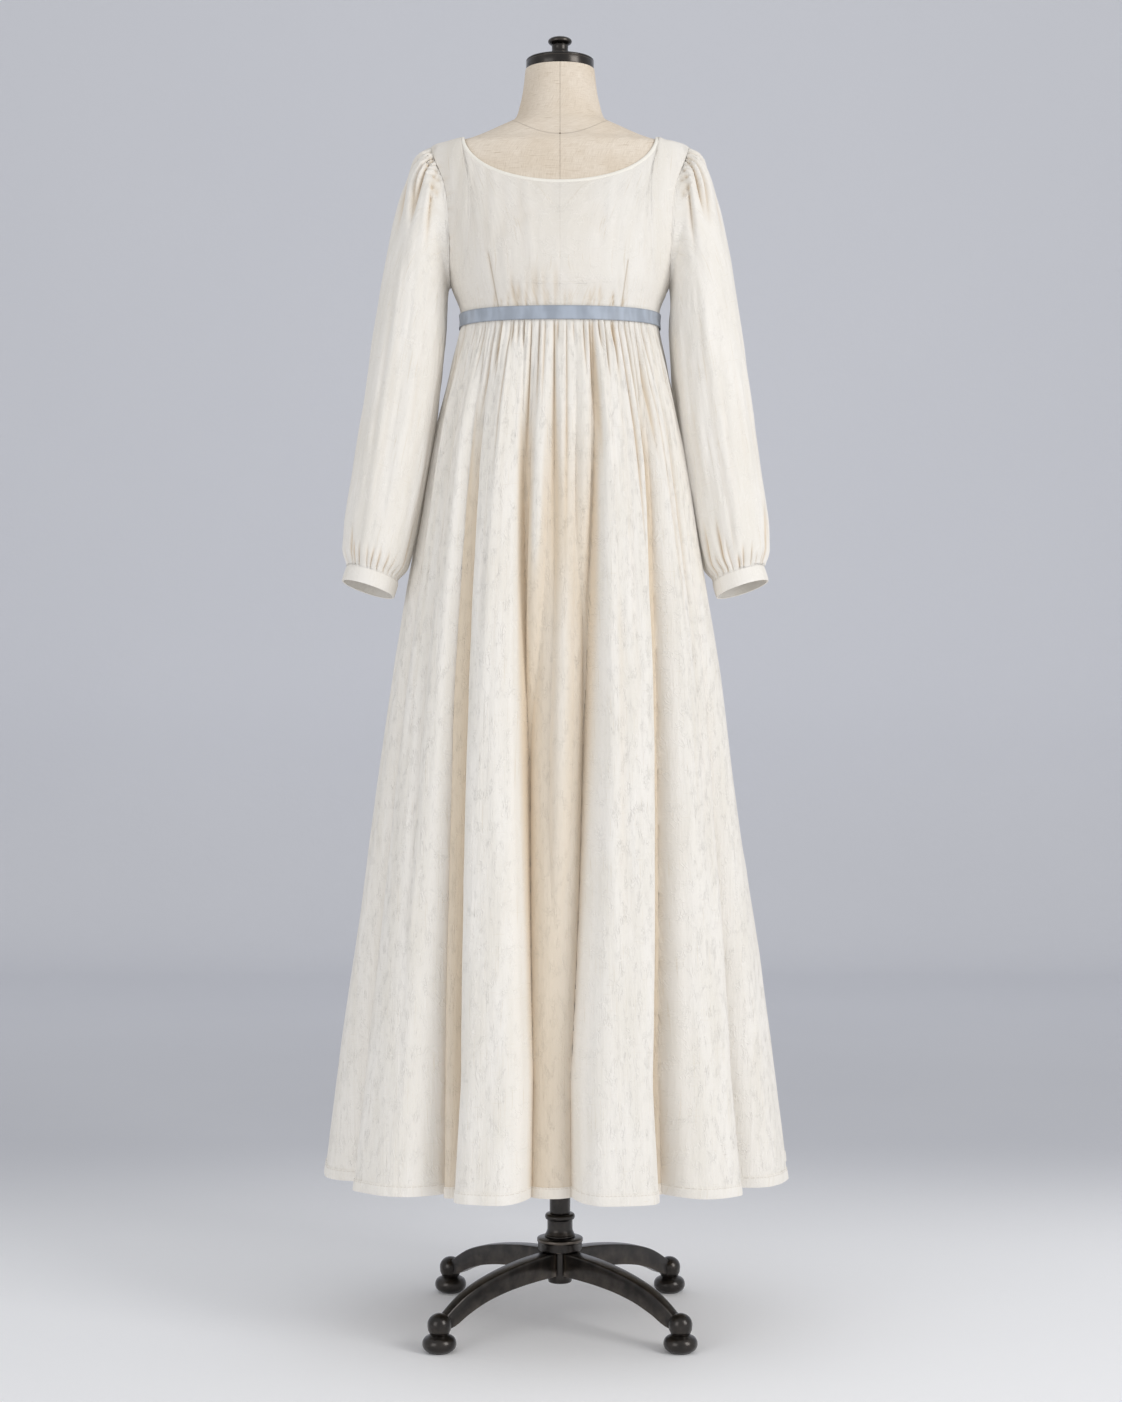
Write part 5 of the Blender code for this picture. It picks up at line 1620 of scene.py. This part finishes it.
# ---- operators ----
class Making:
    """What the operators share."""

    bl_options = {"REGISTER", "UNDO"}


class GOWN_OT_skirt(Making, bpy.types.Operator):
    """Cut, gather and hem the front and back of the skirt"""

    bl_idname = "gown.skirt"
    bl_label = "Skirt and hems"

    def execute(self, context):
        seed = context.scene.gown.hand
        for side, columns, rows in (("front", 481, 100), ("back", 401, 92)):
            cloth, flat, area, hem, hem_flat = make_skirt(side, columns, rows, seed)
            need("skirt", cloth, hem)
            dress(cloth, gown_finish("gown_cloth_skirt"))
            dress(hem, gown_finish("gown_cloth_hem", 0.6, hem_lines))
            settle(cloth, f"skirt_{side}")
            settle(hem, f"hem_{side}")
        return {"FINISHED"}


class GOWN_OT_ribbon(Making, bpy.types.Operator):
    """Lay the satin ribbon round the raised waist"""

    bl_idname = "gown.ribbon"
    bl_label = "Waist ribbon"

    def execute(self, context):
        ribbon, flat = make_ribbon(context.scene.gown.hand + 31)
        need("ribbon", ribbon)
        dress(ribbon, ribbon_finish(tuple(context.scene.gown.ribbon)))
        settle(ribbon, "waist_ribbon")
        return {"FINISHED"}


class GOWN_OT_bodice(Making, bpy.types.Operator):
    """Cut and dart the four panels of the bodice and bind the neck"""

    bl_idname = "gown.bodice"
    bl_label = "Bodice and neck binding"

    def execute(self, context):
        seed = context.scene.gown.hand
        binding = make_binding()
        need("binding", binding)
        panels = (("front", "left"), ("front", "right"), ("back", "left"), ("back", "right"))
        for k, (side, hand) in enumerate(panels):
            panel, flat, area = make_bodice(side, hand, seed + 40 + k)
            need("bodice", panel)
            # the bodice's cloth is a slightly darker copy, tone 0.96: painted shade
            dress(panel, gown_finish("gown_cloth_bodice", 0.6, bodice_lines, 0.96))
            settle(panel, f"bodice_{side}_{hand}")
            area = max(area, LEAST_AREA * flat[0] * flat[1])
        colour = tuple(context.scene.gown.binding)
        warm = times(colour, 0.8)
        colours = {"crest": colour, "body": times(colour, 0.96), "slub": warm, "valley": warm,
                   "through": warm}
        dress(binding, cloth_finish("binding_cloth_bias", colours, 0.3))
        settle(binding, "neck_binding")
        return {"FINISHED"}


class GOWN_OT_sleeves(Making, bpy.types.Operator):
    """Gather both sleeves over the head and into their cuffs"""

    bl_idname = "gown.sleeves"
    bl_label = "Sleeves and cuffs"

    def execute(self, context):
        seed = context.scene.gown.hand
        for k, hand in enumerate(("left", "right")):
            sleeve, flat, area = make_sleeve(hand, 321, 150, seed + 60 + k)
            cuff, cuff_flat = make_cuff(hand, 161)
            need("sleeve", sleeve, cuff)
            # the inner faces get a darker, warmer copy of the cloth: painted shade inside the sleeves
            # and cuffs
            inside = gown_finish("gown_cloth_inside_shaded", 0.6, None, 0.90, 0.12)
            dress(sleeve, gown_finish("gown_cloth_sleeve", 0.7), inside)
            dress(cuff, gown_finish("gown_cloth_cuff", 0.35), inside)
            settle(sleeve, f"sleeve_{hand}")
            settle(cuff, f"cuff_{hand}")
        return {"FINISHED"}


class GOWN_OT_form(Making, bpy.types.Operator):
    """Shape the form and cover it in linen"""

    bl_idname = "gown.form"
    bl_label = "Dress form"

    def execute(self, context):
        cover = make_form()
        need("form", cover)
        form = context.scene.form_and_stand
        colours = {"light": tuple(form.linen_light), "body": tuple(form.linen_body),
                   "thread": tuple(form.thread), "seam": tuple(form.seam)}
        dress(cover, linen_finish(colours))
        settle(cover, "dress_form")
        return {"FINISHED"}


LEG_ANGLES = {"front_left": -45, "front_right": -135, "back_left": 45, "back_right": 135}


class GOWN_OT_stand(Making, bpy.types.Operator):
    """Turn and cast the bronze cap, pole, hub, legs and feet"""

    bl_idname = "gown.stand"
    bl_label = "Cap, pole and legs"

    def execute(self, context):
        pieces = list(zip(("neck_cap", "cap_knob"), make_cap_and_knob()))
        pieces += zip(("form_socket", "stand_pole", "pole_collar", "base_hub"), make_pole())
        for name, angle in LEG_ANGLES.items():
            pieces.append((f"leg_{name}", make_leg(name, angle)))
            pieces.append((f"foot_{name}", make_foot(name, angle)))
        for node, obj in pieces:
            need(node, obj)
            dress(obj, metal())
            settle(obj, node)
        return {"FINISHED"}


def soft_light(name, place, size, power, colour):
    """A large soft area light, unseen itself, aimed at the middle of the gown."""
    clear_selection()
    bpy.ops.object.light_add(type="AREA", location=place)
    lamp = bpy.context.object
    lamp.name = name
    lamp.data.shape = "RECTANGLE"
    lamp.data.size, lamp.data.size_y = size
    lamp.data.energy = power
    lamp.data.color = colour
    aim = Vector((0.0, 0.0, LIT_Z)) - Vector(place)
    lamp.rotation_euler = aim.to_track_quat("-Z", "Y").to_euler()
    lamp.visible_camera = False


CAMERA_X = 0.0014
PAPER_BACK_Y = 4.0         # where the paper turns up into the wall
PAPER_TURN = 0.7           # radius of that turn
PAPER_STEPS = 24
PAPER_WALL = 5.0           # height of the wall over the turn
LIT_Z = 0.85               # height that the lights are aimed at


class GOWN_OT_studio(Making, bpy.types.Operator):
    """Lay the pale floor and backdrop, and set the camera and the lights"""

    bl_idname = "gown.studio"
    bl_label = "Studio"

    def execute(self, context):
        studio = context.scene.studio
        clear_selection()
        bpy.ops.object.camera_add(location=(CAMERA_X, -studio.distance, studio.eye),
                                  rotation=(pi / 2, 0.0, 0.0))
        camera = context.object
        camera.data.lens = studio.lens
        camera.data.sensor_width = 36.0
        context.scene.camera = camera
        clear_selection()
        bpy.ops.mesh.primitive_plane_add(size=1.0, location=(0.0, -1.0, 0.0))
        floor = context.object
        floor.name = floor.data.name = "studio_floor"
        floor.scale = (16.0, 10.0, 1.0)
        bpy.ops.object.transform_apply(location=True, rotation=True, scale=True)
        bpy.ops.object.mode_set(mode="EDIT")
        bpy.ops.mesh.select_all(action="DESELECT")
        bpy.ops.object.mode_set(mode="OBJECT")
        context.tool_settings.mesh_select_mode = (False, True, False)
        for edge in floor.data.edges:
            ends = [floor.data.vertices[i].co.y for i in edge.vertices]
            edge.select = min(ends) > PAPER_BACK_Y - 0.1
        bpy.ops.object.mode_set(mode="EDIT")
        last_y, last_z = PAPER_BACK_Y, 0.0
        for angle in np.linspace(0.0, pi / 2, PAPER_STEPS + 1)[1:]:
            y, z = PAPER_BACK_Y + PAPER_TURN * sin(angle), PAPER_TURN * (1 - cos(angle))
            move = (0.0, y - last_y, z - last_z)
            bpy.ops.mesh.extrude_region_move(TRANSFORM_OT_translate={"value": move})
            last_y, last_z = y, z
        move = (0.0, 0.0, PAPER_WALL)
        bpy.ops.mesh.extrude_region_move(TRANSFORM_OT_translate={"value": move})
        bpy.ops.object.mode_set(mode="OBJECT")
        bpy.ops.object.shade_smooth()
        need("floor", floor)
        dress(floor, studio_finish("studio_paper", tuple(studio.paper), tuple(studio.floor_tone)))
        soft_light("key", (2.8, -2.3, 2.1), (1.6, 2.4), studio.key_power, (1.0, 0.985, 0.96))
        soft_light("fill", (-2.4, -3.0, 1.5), (2.0, 2.4), studio.fill_power, (1.0, 0.995, 0.98))
        world = bpy.data.worlds.new("room")
        context.scene.world = world
        world.use_nodes = True
        sky = world.node_tree.nodes["Background"]
        sky.inputs["Color"].default_value = (0.97, 0.98, 1.0, 1.0)
        sky.inputs["Strength"].default_value = studio.sky
        context.scene.view_settings.view_transform = "Standard"
        return {"FINISHED"}


OPERATORS = (GOWN_OT_studio, GOWN_OT_skirt, GOWN_OT_ribbon, GOWN_OT_bodice, GOWN_OT_sleeves,
             GOWN_OT_form, GOWN_OT_stand)


class GOWN_PT_panel(bpy.types.Panel):
    """The gown's settings and its pieces, in the order they are made"""

    bl_idname = "GOWN_PT_panel"
    bl_label = "Regency gown"
    bl_space_type = "VIEW_3D"
    bl_region_type = "UI"
    bl_category = "Gown"

    def draw(self, context):
        for settings in (context.scene.gown, context.scene.form_and_stand, context.scene.studio):
            box = self.layout.box()
            for name in settings.__annotations__:
                box.prop(settings, name)
        for operator in OPERATORS:
            self.layout.operator(operator.bl_idname)


CLASSES = (GownSettings, FormSettings, StudioSettings) + OPERATORS + (GOWN_PT_panel,)


def register():
    for made in CLASSES:
        bpy.utils.register_class(made)
    bpy.types.Scene.gown = bpy.props.PointerProperty(type=GownSettings)
    bpy.types.Scene.form_and_stand = bpy.props.PointerProperty(type=FormSettings)
    bpy.types.Scene.studio = bpy.props.PointerProperty(type=StudioSettings)


def unregister():
    del bpy.types.Scene.studio
    del bpy.types.Scene.form_and_stand
    del bpy.types.Scene.gown
    for made in reversed(CLASSES):
        bpy.utils.unregister_class(made)


def main():
    """Make the whole scene."""
    register()
    bpy.ops.gown.studio()
    bpy.ops.gown.skirt()
    bpy.ops.gown.ribbon()
    bpy.ops.gown.bodice()
    bpy.ops.gown.sleeves()
    bpy.ops.gown.form()
    bpy.ops.gown.stand()


if __name__ == "__main__":
    main()
